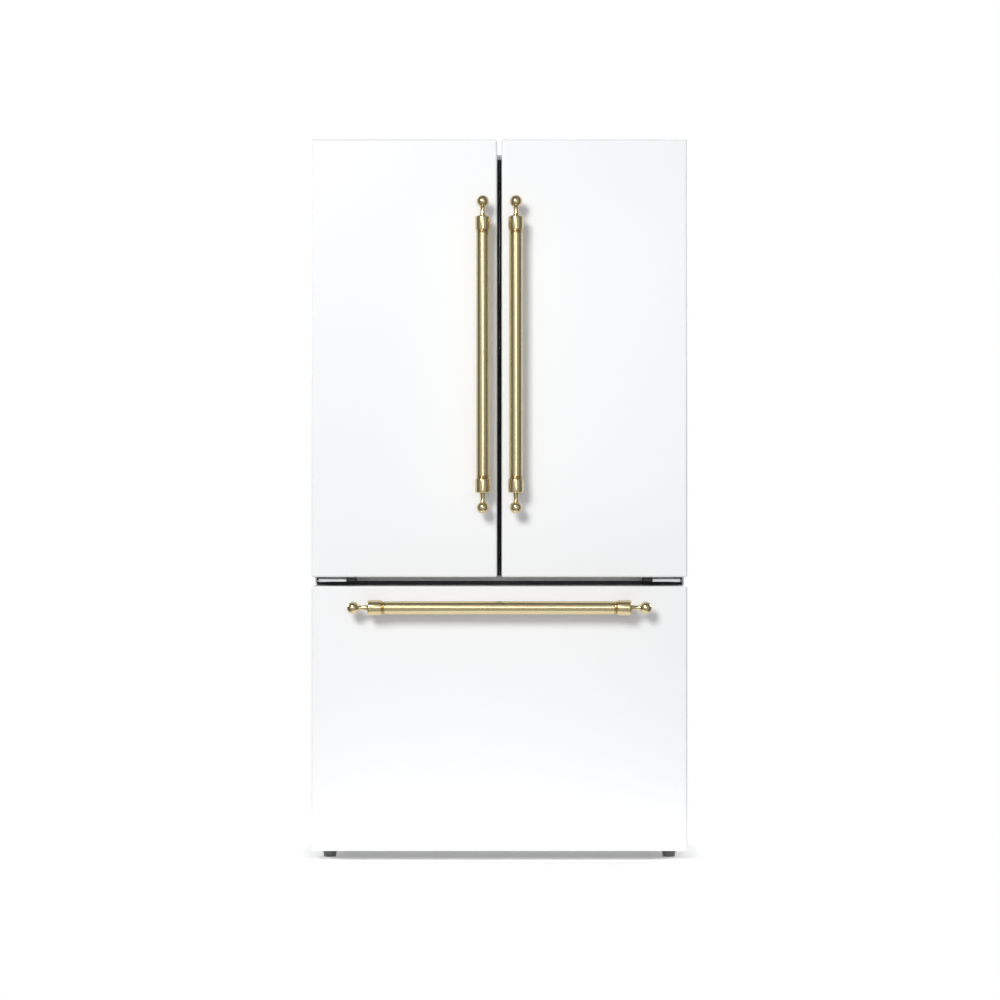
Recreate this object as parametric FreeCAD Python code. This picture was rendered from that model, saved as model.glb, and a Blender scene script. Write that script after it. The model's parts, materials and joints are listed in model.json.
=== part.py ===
"""French door refrigerator with a bottom freezer drawer, in millimetres.

+X is to the right seen from the front, the front faces -Y and +Z is up. The origin is on the
floor, under the middle of the overall box, handles included.
"""
import FreeCAD, Part
import math
import os

Vec = FreeCAD.Vector

# ---- Overall sizes
overall_width = 910.0
overall_height = 1750.0
case_depth = 610.0
seal_gap = 12.0
door_thick = 70.0
handle_reach = 68.0

# ---- Fronts: doors above, drawer below
drawer_bottom = 27.0
drawer_height = 641.5
front_gap = 21.5
centre_gap = 11.0
door_radius = 5.0
skin = 1.0
door_liner = 2.0

# ---- Cabinet walls
case_overhang = 3.0
top_step = 28.0
case_bottom = 59.0
case_radius = 4.0
sheet = 1.0
liner = 2.0
liner_radius = 18.0
side_foam = 49.0
top_foam = 54.0
back_foam = 57.0
bottom_foam = 51.0
rail_height = 78.0
rail_thick = 4.0
machine_depth = 187.0
machine_height = 226.0
step_foam = 45.0
step_radius = 10.0
rib_height = 1.5

# ---- Hinges and seals
pivot_side = 22.0
pivot_depth = 35.0
pin_radius = 5.0
running = 0.05
hinge_arm = 14.0
arm_outside = 6.0
hinge_plate = 5.0
hinge_pad = 44.0
hinge_cover_width = 78.0
hinge_cover_depth = 110.0
middle_plate = 4.0
pocket_width = 80.0
pocket_lip = 10.0
pocket_drop = 6.0
bush_wall = 3.0
bush_size = 20.0
bush_depth = 22.0
seal_width = 13.0
seal_inset = 49.0
seal_edge = 7.0
seal_centre = 12.0
seal_below = 32.0
seal_clear = 0.3
screw_radius = 3.0
screw_clear = 0.2
leaf_reach = 62.0
leaf_thick = 3.0
stop_width = 24.0
stop_drop = 10.0

# ---- Door liner frame and flap
dyke_width = 22.0
dyke_depth = 50.0
drawer_dyke_depth = 30.0
dyke_clear = 8.0
dyke_radius = 10.0
dyke_side = 10.0
dyke_centre = 38.0
flap_width = 60.0
flap_thick = 16.0
flap_end_gap = 22.0
flap_x = 21.0
flap_pin = 3.0
bracket_thick = 4.0

# ---- Handles
handle_top_margin = 140.0
handle_bottom_margin = 154.0
handle_from_centre = 40.0
drawer_handle_end = 88.0
drawer_handle_drop = 50.5
bar_radius = 16.0
ferrule_radius = 18.5
ferrule_length = 33.0
bead_radius = 17.5
bead_length = 8.0
collar_radius = 8.7
collar_length = 4.0
neck_radius = 6.7
neck_length = 19.0
ball_radius = 15.0
post_radius = 11.0
post_foot_radius = 15.0
post_foot = 4.0

# ---- Inside the fresh-food compartment
drawer_set_back = 185.0
inner_back_gap = 35.0
deli_height = 84.0
deli_lift = 6.0
crisper_height = 158.0
crisper_lift = 24.0
cover_height = 18.0
tub_wall = 3.0
flange_thick = 3.0
ledge = 8.0
slide_clear = 0.4
column_gap = 4.0
shelf_count = 2
shelf_front = 158.0
shelf_thick = 12.0
shelf_rim = 14.0
glass_thick = 4.0
glass_bite = 6.0
arm_thick = 3.0
ladder_width = 12.0
ladder_depth = 8.0
duct_half = 70.0
duct_depth = 30.0
slider_length = 36.0
slider_travel = 40.0
bin_depth = 145.0
bin_height = 105.0
bin_count = 3
lid_depth = 110.0
lid_pin = 3.0
lid_lift = 12.0

# ---- Inside the freezer compartment
slide_height = 40.0
slide_width = 12.0
slide_metal = 2.0
slide_z = 400.0
basket_floor_gap = 13.0
tray_height = 110.0
tray_wall = 3.0
fan_radius = 52.0
machine_fan_radius = 72.0
fan_thick = 18.0
evaporator_space = 68.0
coil_radius = 4.0
coil_pitch = 26.0
coil_margin = 14.0
fin_pitch = 20.0

# ---- Base and machine compartment
base_metal = 2.5
rail_tube_width = 34.0
foot_radius = 18.0
foot_height = 16.0
foot_inset = 35.0
foot_set_back = 40.0
roller_inset = 26.0
roller_set_in = 42.0
base_tray_z = 36.0
roller_radius = 20.0
roller_width = 18.0
axle_radius = 4.0
gland_radius = 9.0
gland_bore = 4.5
compressor_radius = 72.0
compressor_height = 150.0

# ---- Places that follow from the sizes
half_width = overall_width / 2
total_depth = case_depth + seal_gap + door_thick + handle_reach
back_y = total_depth / 2
case_front = back_y - case_depth
door_back = case_front - seal_gap
door_front = door_back - door_thick
case_half = half_width - case_overhang
case_top = overall_height - top_step
panel_y = back_y - rib_height - 1.5
drawer_top = drawer_bottom + drawer_height
door_bottom = drawer_top + front_gap
gap_z = drawer_top + front_gap / 2
rail_low = gap_z - rail_height / 2
rail_high = gap_z + rail_height / 2
room_half = case_half - sheet - side_foam
inner_half = room_half - liner
ceiling = case_top - sheet - top_foam
foam_back = panel_y - back_foam
room_back = foam_back - liner
fresh_floor = rail_high + liner
fresh_ceiling = ceiling - liner
freezer_low = case_bottom + bottom_foam
freezer_floor = freezer_low + liner
freezer_ceiling = rail_low - liner
machine_front = panel_y - machine_depth
machine_top = case_bottom + machine_height
step_y = machine_front - step_foam
step_z = machine_top + step_foam
pivot_x = half_width - pivot_side
pivot_y = door_back - pivot_depth
pocket_floor = case_top - pocket_drop
door_inner_edge = centre_gap / 2
handle_y = door_front - handle_reach + ferrule_radius
flap_y = case_front + 2 + flap_thick / 2
dyke_outer = room_half - dyke_side
dyke_top = fresh_ceiling - dyke_clear
dyke_bottom = fresh_floor + dyke_clear
cover_z = fresh_floor + deli_lift + deli_height + crisper_lift + crisper_height + 12
tub_front = case_front + drawer_set_back
tub_back = room_back - inner_back_gap
column_low = column_gap
column_high = inner_half - 5
shelf_pitch = (fresh_ceiling - cover_z - cover_height) / (shelf_count + 1)
bin_low = cover_z + cover_height + 40
lid_z = dyke_top - dyke_width - lid_depth - 12
bin_pitch = (lid_z - lid_lift - bin_height - bin_low) / (bin_count - 1)
slide_front = door_back + drawer_dyke_depth
slide_back = room_back - evaporator_space - 10


# ---- Helpers
def box(x0, x1, y0, y1, z0, z1):
    """A block between two opposite corners."""
    return Part.makeBox(x1 - x0, y1 - y0, z1 - z0, Vec(x0, y0, z0))


def rod(x, y, z, radius, length, axis=(0, 0, 1)):
    """A round bar that starts at a point and runs along an axis."""
    return Part.makeCylinder(radius, length, Vec(x, y, z), Vec(*axis))


def direction(edge):
    """The unit direction of a straight edge."""
    ends = edge.Vertexes
    return (ends[1].Point - ends[0].Point).normalize()


def rounded(shape, radius, axes, keep=None):
    """Round the straight edges that run along the given axes, such as 'xz'."""
    picked = []
    for edge in shape.Edges:
        run = direction(edge)
        along = {"x": abs(run.x), "y": abs(run.y), "z": abs(run.z)}
        middle = edge.CenterOfMass
        if any(along[axis] > 0.99 for axis in axes) and (keep is None or keep(middle)):
            picked.append(edge)
    return shape.makeFillet(radius, picked)


def tub(x0, x1, y0, y1, z0, z1, wall, radius, open_side):
    """An open box of one wall thickness, rounded everywhere but at its open side."""
    reach = {"x": Vec(1, 0, 0), "y": Vec(0, 1, 0), "z": Vec(0, 0, 1)}[open_side[1]]
    rim = {"+x": x1, "-x": x0, "+y": y1, "-y": y0, "+z": z1, "-z": z0}[open_side]
    outer = box(x0, x1, y0, y1, z0, z1)
    outer = rounded(outer, radius, "xyz", lambda p: abs(p.dot(reach) - rim) > 0.01)
    low = [x0 + wall, y0 + wall, z0 + wall]
    high = [x1 - wall, y1 - wall, z1 - wall]
    place = "xyz".index(open_side[1])
    if open_side[0] == "+":
        high[place] = rim + wall
        rim = high[place]
    else:
        low[place] = rim - wall
        rim = low[place]
    inner = box(low[0], high[0], low[1], high[1], low[2], high[2])
    inner = rounded(inner, radius - wall * 0.5, "xyz", lambda p: abs(p.dot(reach) - rim) > 0.01)
    return outer.cut(inner)


def ring(x0, x1, z0, z1, width, y0, y1, radius):
    """A rectangular frame that faces the front, with rounded outer corners."""
    outer = rounded(box(x0, x1, y0, y1, z0, z1), radius, "y")
    inner = box(x0 + width, x1 - width, y0 - 1, y1 + 1, z0 + width, z1 - width)
    inner = rounded(inner, max(radius - width, 2.0), "y")
    return outer.cut(inner)


def turned(points, place, axis):
    """A solid turned from (distance along, radius) points, moved to a place along an axis."""
    outline = [Vec(points[0][0], 0, 0)]
    outline += [Vec(along, radius, 0) for along, radius in points]
    outline += [Vec(points[-1][0], 0, 0), outline[0]]
    face = Part.Face(Part.makePolygon(outline))
    solid = face.revolve(Vec(0, 0, 0), Vec(1, 0, 0), 360)
    solid.Placement = FreeCAD.Placement(Vec(*place), FreeCAD.Rotation(Vec(1, 0, 0), Vec(*axis)))
    return solid


def mirrored(shape):
    """The same piece on the other side of the middle plane."""
    return shape.mirror(Vec(0, 0, 0), Vec(1, 0, 0))


def pair(shape):
    """A left piece and its right twin."""
    return [shape, mirrored(shape)]


def group(shapes):
    """Separate solids that share one node."""
    solids = [solid for shape in shapes for solid in shape.Solids]
    return Part.makeCompound(solids)


def screw(x, y, z, length, axis):
    """A hexagon-headed screw: its head stands on the given point, its shank runs along axis."""
    head_radius = screw_radius * 1.9
    corners = [Vec(head_radius * math.cos(math.pi / 3 * i), head_radius * math.sin(math.pi / 3 * i), 0)
               for i in range(7)]
    head = Part.Face(Part.makePolygon(corners)).extrude(Vec(0, 0, -4))
    body = head.fuse(rod(0, 0, 0, screw_radius, length))
    body.Placement = FreeCAD.Placement(Vec(x, y, z), FreeCAD.Rotation(Vec(0, 0, 1), Vec(*axis)))
    return body


# ---- Cabinet
def case_cavity():
    """The space inside the steel wrapper, open at the back and the bottom."""
    space = box(-case_half + sheet, case_half - sheet, case_front + sheet, back_y + 10,
                case_bottom - 10, case_top - sheet)
    radius = case_radius - sheet
    space = rounded(space, radius, "z", lambda p: p.y < 0)
    return rounded(space, radius, "y", lambda p: p.z > 0)


top_screws = [(pivot_x - 4 - 18 * i, case_front + 40 + 26 * j) for i in range(2) for j in range(2)]


def cabinet_wrapper():
    """Painted steel sides, top and front flange, and the strip across the divider."""
    shell = box(-case_half, case_half, case_front, panel_y + 1.5, case_bottom, case_top)
    shell = rounded(shell, case_radius, "z", lambda p: p.y < 0)
    shell = rounded(shell, case_radius, "y", lambda p: p.z > case_bottom + 1)
    shell = shell.cut(case_cavity())
    shell = shell.cut(box(-room_half, room_half, case_front - 1, case_front + sheet + 1,
                          freezer_low, ceiling))
    for x, y in top_screws:
        for side in (-1, 1):
            shell = shell.cut(rod(side * x, y, case_top - sheet - 1, screw_radius + screw_clear, sheet + 2))
    strip = box(-room_half, room_half, case_front, case_front + rail_thick, rail_low, rail_high)
    return group([shell, strip])


def back_panel():
    """Steel back above the machine compartment, stiffened by stamped ribs."""
    half = case_half - sheet
    panel = box(-half, half, panel_y, panel_y + 1.5, machine_top, case_top - sheet - case_radius)
    for i in range(5):
        x = (i - 2) * half / 2.6
        rib = box(x - 9, x + 9, panel_y + 1.0, back_y, machine_top + 60, case_top - 90)
        panel = panel.fuse(rounded(rib, 1.2, "z", lambda p: p.y > panel_y + 2))
    return panel


def insulation_foam():
    """Foam walls, each a block between the wrapper and the liners."""
    full = [
        box(-case_half + sheet, -room_half, case_front + sheet, panel_y, case_bottom, case_top - sheet),
        box(room_half, case_half - sheet, case_front + sheet, panel_y, case_bottom, case_top - sheet),
        box(-room_half, room_half, case_front + sheet, foam_back, ceiling, case_top - sheet),
        box(-room_half, room_half, foam_back, panel_y, step_z, case_top - sheet),
        box(-room_half, room_half, case_front + rail_thick, foam_back, rail_low, rail_high),
        box(-room_half, room_half, case_front + sheet, step_y, case_bottom, freezer_low),
        box(-room_half, room_half, step_y, machine_front, case_bottom, machine_top),
        box(-room_half, room_half, step_y, panel_y, machine_top, step_z),
    ]
    full[-1] = rounded(full[-1], step_radius, "x", lambda p: p.y < step_y + 1 and p.z > step_z - 1)
    cavity = case_cavity()
    return group([block.common(cavity) for block in full])


def fridge_liner():
    """Moulded lining of the fresh-food compartment."""
    return tub(-room_half, room_half, case_front + sheet, foam_back, rail_high, ceiling,
               liner, liner_radius, "-y")


def freezer_liner():
    """Moulded lining of the freezer, stepped over the machine compartment."""
    def prism(inset, front):
        profile = [
            (front, freezer_low + inset), (step_y - inset, freezer_low + inset),
            (step_y - inset, step_z + inset), (foam_back - inset, step_z + inset),
            (foam_back - inset, rail_low - inset), (front, rail_low - inset),
        ]
        half = room_half - inset
        wire = Part.makePolygon([Vec(-half, y, z) for y, z in profile + profile[:1]])
        block = Part.Face(wire).extrude(Vec(2 * half, 0, 0))
        concave = rounded(block, step_radius + inset, "x",
                          lambda p: abs(p.y - step_y + inset) < 1 and abs(p.z - step_z - inset) < 1)
        return rounded(concave, step_radius - inset * 0.5, "x",
                       lambda p: p.y > front + 1 and not (p.y < foam_back - 20 and p.z > step_z - 20))
    return prism(0, case_front + sheet).cut(prism(liner, case_front))


foot_x = case_half - foot_inset
foot_y = case_front + foot_set_back
roller_x = case_half - roller_inset
roller_y = panel_y - roller_set_in


def base_frame():
    """Side tubes, cross beams, compressor tray, foot sockets and roller brackets."""
    out = case_half - 8
    low = foot_height + 14.5
    side = box(-out, -out + rail_tube_width, case_front + 8, roller_y - 30, low, case_bottom)
    side = side.cut(box(-out + base_metal, -out + rail_tube_width - base_metal, case_front, roller_y,
                        low + base_metal, case_bottom - base_metal))
    socket = rod(-foot_x, foot_y, foot_height + 0.5, foot_radius - 1, low - foot_height - 0.5)
    side = side.fuse(socket).cut(rod(-foot_x, foot_y, 0, pin_radius, case_bottom - base_metal - 1))
    beam = box(-out + rail_tube_width, out - rail_tube_width, case_front + 12, case_front + 40,
               low + 4, case_bottom)
    beam = beam.cut(box(-out, out, case_front + 12 + base_metal, case_front + 40 - base_metal,
                        low, case_bottom - base_metal))
    tray_half = out - rail_tube_width - 2
    tray = box(-tray_half, tray_half, machine_front + 2, panel_y - 2,
               base_tray_z, base_tray_z + base_metal)
    lip = box(-tray_half, tray_half, machine_front + 2, machine_front + 2 + base_metal,
              base_tray_z, case_bottom)
    cheek = roller_width / 2 + 1.5
    bracket = box(-roller_x - cheek - 3, -roller_x + cheek + 3, roller_y - 17, roller_y + 17,
                  axle_radius + 6, case_bottom)
    bracket = bracket.cut(box(-roller_x - cheek, -roller_x + cheek, roller_y - 20, roller_y + 20,
                              0, case_bottom - 3))
    axle = rod(-roller_x - cheek - 4, roller_y, roller_radius, axle_radius, 2 * cheek + 8, (1, 0, 0))
    bracket = bracket.fuse(axle)
    return group(pair(side) + [beam, tray.fuse(lip)] + pair(bracket))


def rear_rollers():
    """Two plain wheels at the back corners, on one line of axles."""
    groove = 1.5
    half = roller_width / 2
    wheel = turned([(-half, roller_radius - 1), (-half + 1, roller_radius), (-2, roller_radius),
                    (-1, roller_radius - groove), (1, roller_radius - groove), (2, roller_radius),
                    (half - 1, roller_radius), (half, roller_radius - 1)],
                   (-roller_x, roller_y, roller_radius), (1, 0, 0))
    wheel = wheel.cut(rod(-roller_x - half - 1, roller_y, roller_radius, axle_radius + running,
                          roller_width + 2, (1, 0, 0)))
    return group(pair(wheel))


def levelling_feet():
    """Two ribbed feet on threaded stems at the front corners."""
    points = [(0, foot_radius - 3)]
    rib_count = 4
    rib = (foot_height - 2) / rib_count
    for i in range(rib_count):
        radius = foot_radius - 3 + 2.4 * i / rib_count
        points += [(1 + rib * i, radius), (1 + rib * (i + 0.6), radius),
                   (1 + rib * (i + 0.7), radius - 0.8), (1 + rib * (i + 0.95), radius - 0.8)]
    points += [(foot_height - 1, foot_radius), (foot_height, foot_radius)]
    foot = turned(points, (-foot_x, foot_y, 0), (0, 0, 1))
    foot = foot.fuse(rod(-foot_x, foot_y, foot_height - 1, pin_radius, 34))
    return group(pair(foot))


def louvres(x0, x1, z0, z1, columns, rows, height, y0, y1):
    """A grid of slots to cut from a panel."""
    pitch_x = (x1 - x0) / columns
    pitch_z = (z1 - z0) / rows
    slots = []
    for i in range(columns):
        for j in range(rows):
            x = x0 + pitch_x * i + 5
            z = z0 + pitch_z * (j + 0.5) - height / 2
            slots.append(box(x, x + pitch_x - 10, y0, y1, z, z + height))
    return Part.makeCompound(slots)


gland_x = room_half - 50
gland_z = machine_top - 110


def machine_cover():
    """Slotted steel cover over the machine compartment."""
    half = case_half - sheet
    cover = box(-half, half, panel_y, panel_y + 1.5, case_bottom + 2, machine_top - 1)
    cover = cover.cut(louvres(-half + 30, half - 150, case_bottom + 20, machine_top - 20,
                              9, 10, 6, panel_y - 1, back_y + 1))
    return cover.cut(rod(gland_x, panel_y - 1, gland_z, gland_radius, 5, (0, 1, 0)))


def rear_electrics():
    """Control box inside the machine compartment and the mains gland in its cover."""
    control = box(room_half - 45, room_half - 8, panel_y - 60, panel_y - 12, 120, 250)
    control = rounded(control, 4, "y")
    gland = rod(gland_x, panel_y - 8, gland_z, gland_radius, back_y - panel_y + 8, (0, 1, 0))
    nut = rod(gland_x, panel_y - 8, gland_z, gland_radius + 4, 8, (0, 1, 0))
    gland = gland.fuse(nut).cut(rod(gland_x, panel_y - 10, gland_z, gland_bore, 20, (0, 1, 0)))
    return group([control, gland])


# ---- Hinges of the cabinet
def top_hinges():
    """Plates on the cabinet top whose arms carry a pin down into each door."""
    top = case_top + hinge_plate
    arm = rod(-pivot_x, pivot_y, case_top, hinge_arm, hinge_plate)
    arm = arm.fuse(box(-pivot_x - arm_outside, -pivot_x + hinge_arm, pivot_y, case_front + 30,
                       case_top, top))
    pad = box(-pivot_x - hinge_arm, -pivot_x + hinge_pad, case_front + 14, case_front + 92, case_top, top)
    plate = arm.fuse(rounded(pad, 5, "z"))
    for x, y in top_screws:
        plate = plate.cut(rod(-x, y, case_top - 1, screw_radius + screw_clear, hinge_plate + 2))
    plate = plate.fuse(rod(-pivot_x, pivot_y, case_top - bush_depth - pocket_drop + 2, pin_radius,
                           bush_depth + pocket_drop))
    screws = [screw(-x, y, top, hinge_plate + sheet, (0, 0, -1)) for x, y in top_screws]
    return group(pair(plate) + [twin for one in screws for twin in pair(one)])


def hinge_covers():
    """Moulded caps over the hinge plates."""
    x0, y0 = -case_half + 2, case_front + 2
    cover = tub(x0, x0 + hinge_cover_width, y0, y0 + hinge_cover_depth, case_top,
                overall_height - 4, 2, 6, "-z")
    slot = box(-pivot_x - hinge_arm - 1, -pivot_x + hinge_arm + 1, case_front, case_front + 12,
               case_top - 1, case_top + hinge_plate + 1)
    return group(pair(cover.cut(slot)))


middle_z = gap_z - 1.5
screw_z = middle_z - 4.4
middle_screws = [-pivot_x + 22, -pivot_x + leaf_reach - 10]


def middle_hinges():
    """Brackets on the divider strip whose arms carry a pin up into each door."""
    front = case_front - leaf_thick
    leaf = box(-pivot_x - hinge_arm, -pivot_x + leaf_reach, front, case_front,
               drawer_top + 1.5, door_bottom - 1)
    arm = rod(-pivot_x, pivot_y, middle_z, hinge_arm, middle_plate)
    outline = [(-hinge_arm, pivot_y), (hinge_arm, pivot_y),
               (46, case_front - 1), (-hinge_arm, case_front - 1)]
    corners = [Vec(-pivot_x + x, y, middle_z) for x, y in outline + outline[:1]]
    web = Part.Face(Part.makePolygon(corners)).extrude(Vec(0, 0, middle_plate))
    pin = rod(-pivot_x, pivot_y, middle_z, pin_radius, door_bottom - middle_z + bush_depth - 2)
    body = leaf.fuse([arm, web, pin])
    screws = []
    for x in middle_screws:
        body = body.cut(rod(x, front - 1, screw_z, screw_radius + screw_clear, 6, (0, 1, 0)))
        head = rod(x, front - 2.2, screw_z, screw_radius * 1.3, 2.2, (0, 1, 0))
        screws.append(rod(x, front, screw_z, screw_radius, leaf_thick, (0, 1, 0)).fuse(head))
    return group(pair(body) + [twin for one in screws for twin in pair(one)])


# ---- Fresh-food compartment fittings
def shelf_levels():
    """Heights of the shelf frames, evenly spaced between the crisper cover and the ceiling."""
    first = cover_z + cover_height
    return [first + shelf_pitch * (i + 1) for i in range(shelf_count)]


def framed(x0, x1, y0, y1, z0, z1):
    """A moulded rim with a ledge that holds a glass pane, and the pane's box."""
    rim = rounded(box(x0, x1, y0, y1, z0, z1), 4, "z")
    rim = rim.cut(box(x0 + shelf_rim, x1 - shelf_rim, y0 + shelf_rim, y1 - shelf_rim, z0 - 1, z1 + 1))
    bite = shelf_rim - glass_bite
    pane = box(x0 + bite, x1 - bite, y0 + bite, y1 - bite, z1 - glass_thick, z1)
    return rim.cut(pane), pane


def shelf_sets():
    """Rims and panes of the shelves on the right; the left ones are their mirror images."""
    sets = []
    for z in shelf_levels():
        sets.append(framed(column_low, column_high, case_front + shelf_front, room_back - duct_depth - 3,
                           z - shelf_thick / 2, z + shelf_thick / 2))
    return sets


crisper_rim = cover_z - 14
deli_rim = fresh_floor + deli_lift + deli_height - 20


def crisper_cover():
    """Glazed frame over the crispers, with the rails that carry them."""
    back = room_back - duct_depth - 3
    frame = box(-inner_half + 2, inner_half - 2, tub_front, back, cover_z, cover_z + cover_height)
    frame = rounded(frame, 4, "z")
    bar = box(-12, 12, tub_front, back, cover_z, cover_z + cover_height)
    opening = box(-inner_half + 30, inner_half - 30, tub_front + 30, back - 30,
                  cover_z - 1, cover_z + cover_height + 1)
    frame = frame.cut(opening).fuse(bar)
    pane = box(-inner_half + 20, inner_half - 20, tub_front + 20, back - 20,
               cover_z + cover_height - glass_thick, cover_z + cover_height)
    frame = frame.cut(pane)
    for side in (-1, 1):
        x = side * slider_x
        frame = frame.cut(box(x - slider_reach, x + slider_reach, tub_front - 1, tub_front + 5,
                              cover_z + 5, cover_z + cover_height - 5))
    web_top = cover_z
    for x0, x1, toes in ((-inner_half + 2, -inner_half + 6, (0, ledge)), (-2, 2, (ledge, ledge)),
                         (inner_half - 6, inner_half - 2, (ledge, 0))):
        web = box(x0, x1, tub_front + 4, back, crisper_rim - 4, web_top)
        toe = box(x0 - toes[0], x1 + toes[1], tub_front + 4, back, crisper_rim - 4, crisper_rim)
        frame = frame.fuse([web, toe])
    return frame, pane


slider_x = inner_half / 2
slider_reach = (slider_length + slider_travel) / 2 + 1


def shelf_frames():
    """Moulded rims of all the shelves, the crisper cover with its rails, and the deli ledges."""
    shapes = [twin for rim, _ in shelf_sets() for twin in pair(rim)]
    frame, _ = crisper_cover()
    shapes.append(frame)
    deli = box(-inner_half, -inner_half + ledge, tub_front, tub_back, deli_rim - 4, deli_rim)
    return group(shapes + pair(deli))


def shelf_glass():
    """Toughened panes of the shelves and the crisper cover."""
    panes = [twin for _, pane in shelf_sets() for twin in pair(pane)]
    _, cover = crisper_cover()
    return group(panes + [cover])


ladder_places = [duct_half + 20, inner_half - 30]


def shelf_supports():
    """Slotted wall ladders and the cantilever arms under the shelves."""
    front = room_back - ladder_depth
    low = cover_z + cover_height + 30
    high = fresh_ceiling - liner_radius - 10
    shapes = []
    for x in ladder_places:
        post = box(x - ladder_width / 2, x + ladder_width / 2, front, room_back, low, high)
        count = int((high - low - 20) // 25)
        slots = [box(x - 2, x + 2, front - 1, front + 3, low + 14 + 25 * i, low + 26 + 25 * i)
                 for i in range(count)]
        shapes += pair(post.cut(Part.makeCompound(slots)))
        for z in shelf_levels():
            top = z - shelf_thick / 2
            tip = case_front + shelf_front + 60
            profile = [(tip, top), (front, top), (front, top - 34), (front - 30, top - 34), (tip, top - 9)]
            corners = [Vec(x - arm_thick / 2, y, level) for y, level in profile + profile[:1]]
            arm = Part.Face(Part.makePolygon(corners)).extrude(Vec(arm_thick, 0, 0))
            shapes += pair(arm)
    return group(shapes)


def open_tub(x0, x1, y0, y1, z0, z1, radius=14):
    """A moulded drawer open at the top."""
    return tub(x0, x1, y0, y1, z0, z1, tub_wall, radius, "+z")


def crisper(side):
    """One vegetable drawer, hung by its flanges from the cover's rails."""
    low = fresh_floor + deli_lift + deli_height + crisper_lift
    x0 = 2 + ledge + 2
    x1 = inner_half - 6 - ledge - 2
    body = open_tub(x0, x1, tub_front, tub_back, low, crisper_rim + slide_clear + flange_thick)
    for a, b in ((x0 - ledge, x0 + 1), (x1 - 1, x1 + ledge)):
        body = body.fuse(box(a, b, tub_front + 20, tub_back - 20, crisper_rim + slide_clear,
                             crisper_rim + slide_clear + flange_thick))
    grip = box(x0 + 40, x1 - 40, tub_front - 14, tub_front + 1, low + crisper_height - 34,
               low + crisper_height - 8)
    grip = rounded(grip, 5, "z", lambda p: p.y < tub_front - 1)
    grip = grip.cut(box(x0 + 44, x1 - 44, tub_front - 10, tub_front - 0.5, low, low + crisper_height - 12))
    body = body.fuse(grip)
    return body if side > 0 else mirrored(body)


def humidity_slider(side):
    """Small vent slider in the front of the crisper cover."""
    clear = 0.3
    middle = slider_x - slider_travel / 2
    bead = box(middle - slider_length / 2, middle + slider_length / 2, tub_front - 3,
               tub_front + 5 - clear, cover_z + 5 + clear, cover_z + cover_height - 5 - clear)
    bead = rounded(bead, 2, "z", lambda p: p.y < tub_front)
    return bead if side > 0 else mirrored(bead)


def deli_drawer():
    """Full-width shallow drawer on ledges under the crispers."""
    low = fresh_floor + deli_lift
    half = inner_half - ledge - 8
    body = open_tub(-half, half, tub_front, tub_back, low, low + deli_height, 10)
    rim = deli_rim + slide_clear
    flange = box(half - 1, half + 13, tub_front + 20, tub_back - 20, rim, rim + flange_thick)
    body = body.fuse(pair(flange))
    grip = box(-150, 150, tub_front - 14, tub_front + 1, low + deli_height - 28, low + deli_height - 6)
    grip = rounded(grip, 5, "z", lambda p: p.y < tub_front - 1)
    return body.fuse(grip.cut(box(-146, 146, tub_front - 10, tub_front - 0.5, low, low + deli_height - 10)))


def air_duct_panels():
    """Slotted air duct on the fresh-food back wall and the cover in front of the evaporator."""
    low = cover_z + cover_height + 20
    high = fresh_ceiling - 25
    duct = box(-duct_half, duct_half, room_back - duct_depth, room_back, low, high)
    duct = rounded(duct, 12, "z", lambda p: p.y < room_back - 1)
    duct = duct.cut(box(-duct_half + 3, duct_half - 3, room_back - duct_depth + 3, room_back + 1,
                        low + 3, high - 3))
    duct = duct.cut(louvres(-duct_half + 12, duct_half - 12, low + 40, high - 40, 2, 7, 12,
                            room_back - duct_depth - 1, room_back - duct_depth + 4))
    front = room_back - evaporator_space
    cover = box(-inner_half + 2, inner_half - 2, front - 4, front, step_z + liner + 2, freezer_ceiling - 2)
    cover = cover.cut(rod(0, front - 6, fan_z, fan_radius + 4, 8, (0, 1, 0)))
    slots = louvres(fan_radius + 30, inner_half - 40, freezer_ceiling - 90, freezer_ceiling - 20,
                    3, 3, 8, front - 6, front + 2)
    return group([duct, cover.cut(pair(slots))])


fan_z = freezer_ceiling - 72


def light_covers():
    """Clear strips over the lamps in both ceilings."""
    fresh = box(-150, 150, 20, 62, fresh_ceiling - 7, fresh_ceiling)
    cold = box(-60, 60, -60, -30, freezer_ceiling - 6, freezer_ceiling)
    return group([rounded(fresh, 6, "z"), rounded(cold, 6, "z")])


def control_panel():
    """Touch panel housing under the fresh-food ceiling."""
    y0 = case_front + 90
    body = box(-110, 110, y0, y0 + 90, fresh_ceiling - 22, fresh_ceiling)
    body = rounded(body, 8, "z")
    return rounded(body, 5, "x", lambda p: p.z < fresh_ceiling - 5 and p.y < y0 + 20)


# ---- Cooling system
def fan(radius, thick, blades):
    """A small axial fan about +Z at the origin, blades and hub in one moulding."""
    hub = rod(0, 0, 0, radius * 0.27, thick)
    blade = box(radius * 0.2, radius, -radius * 0.24, radius * 0.24, thick / 2 - 1, thick / 2 + 1)
    blade = rounded(blade, radius * 0.16, "z", lambda p: p.x > radius * 0.5)
    blade.rotate(Vec(0, 0, thick / 2), Vec(1, 0, 0), 26)
    shape = hub
    for i in range(blades):
        copy = blade.copy()
        copy.rotate(Vec(0, 0, 0), Vec(0, 0, 1), 360 * i / blades)
        shape = shape.fuse(copy)
    return shape.fuse(rod(0, 0, thick - 1, 3, 15))


def placed(shape, place, axis):
    """Turn a shape made about +Z so that it faces along an axis, and move it."""
    shape = shape.copy()
    shape.Placement = FreeCAD.Placement(Vec(*place), FreeCAD.Rotation(Vec(0, 0, 1), Vec(*axis)))
    return shape


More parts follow.
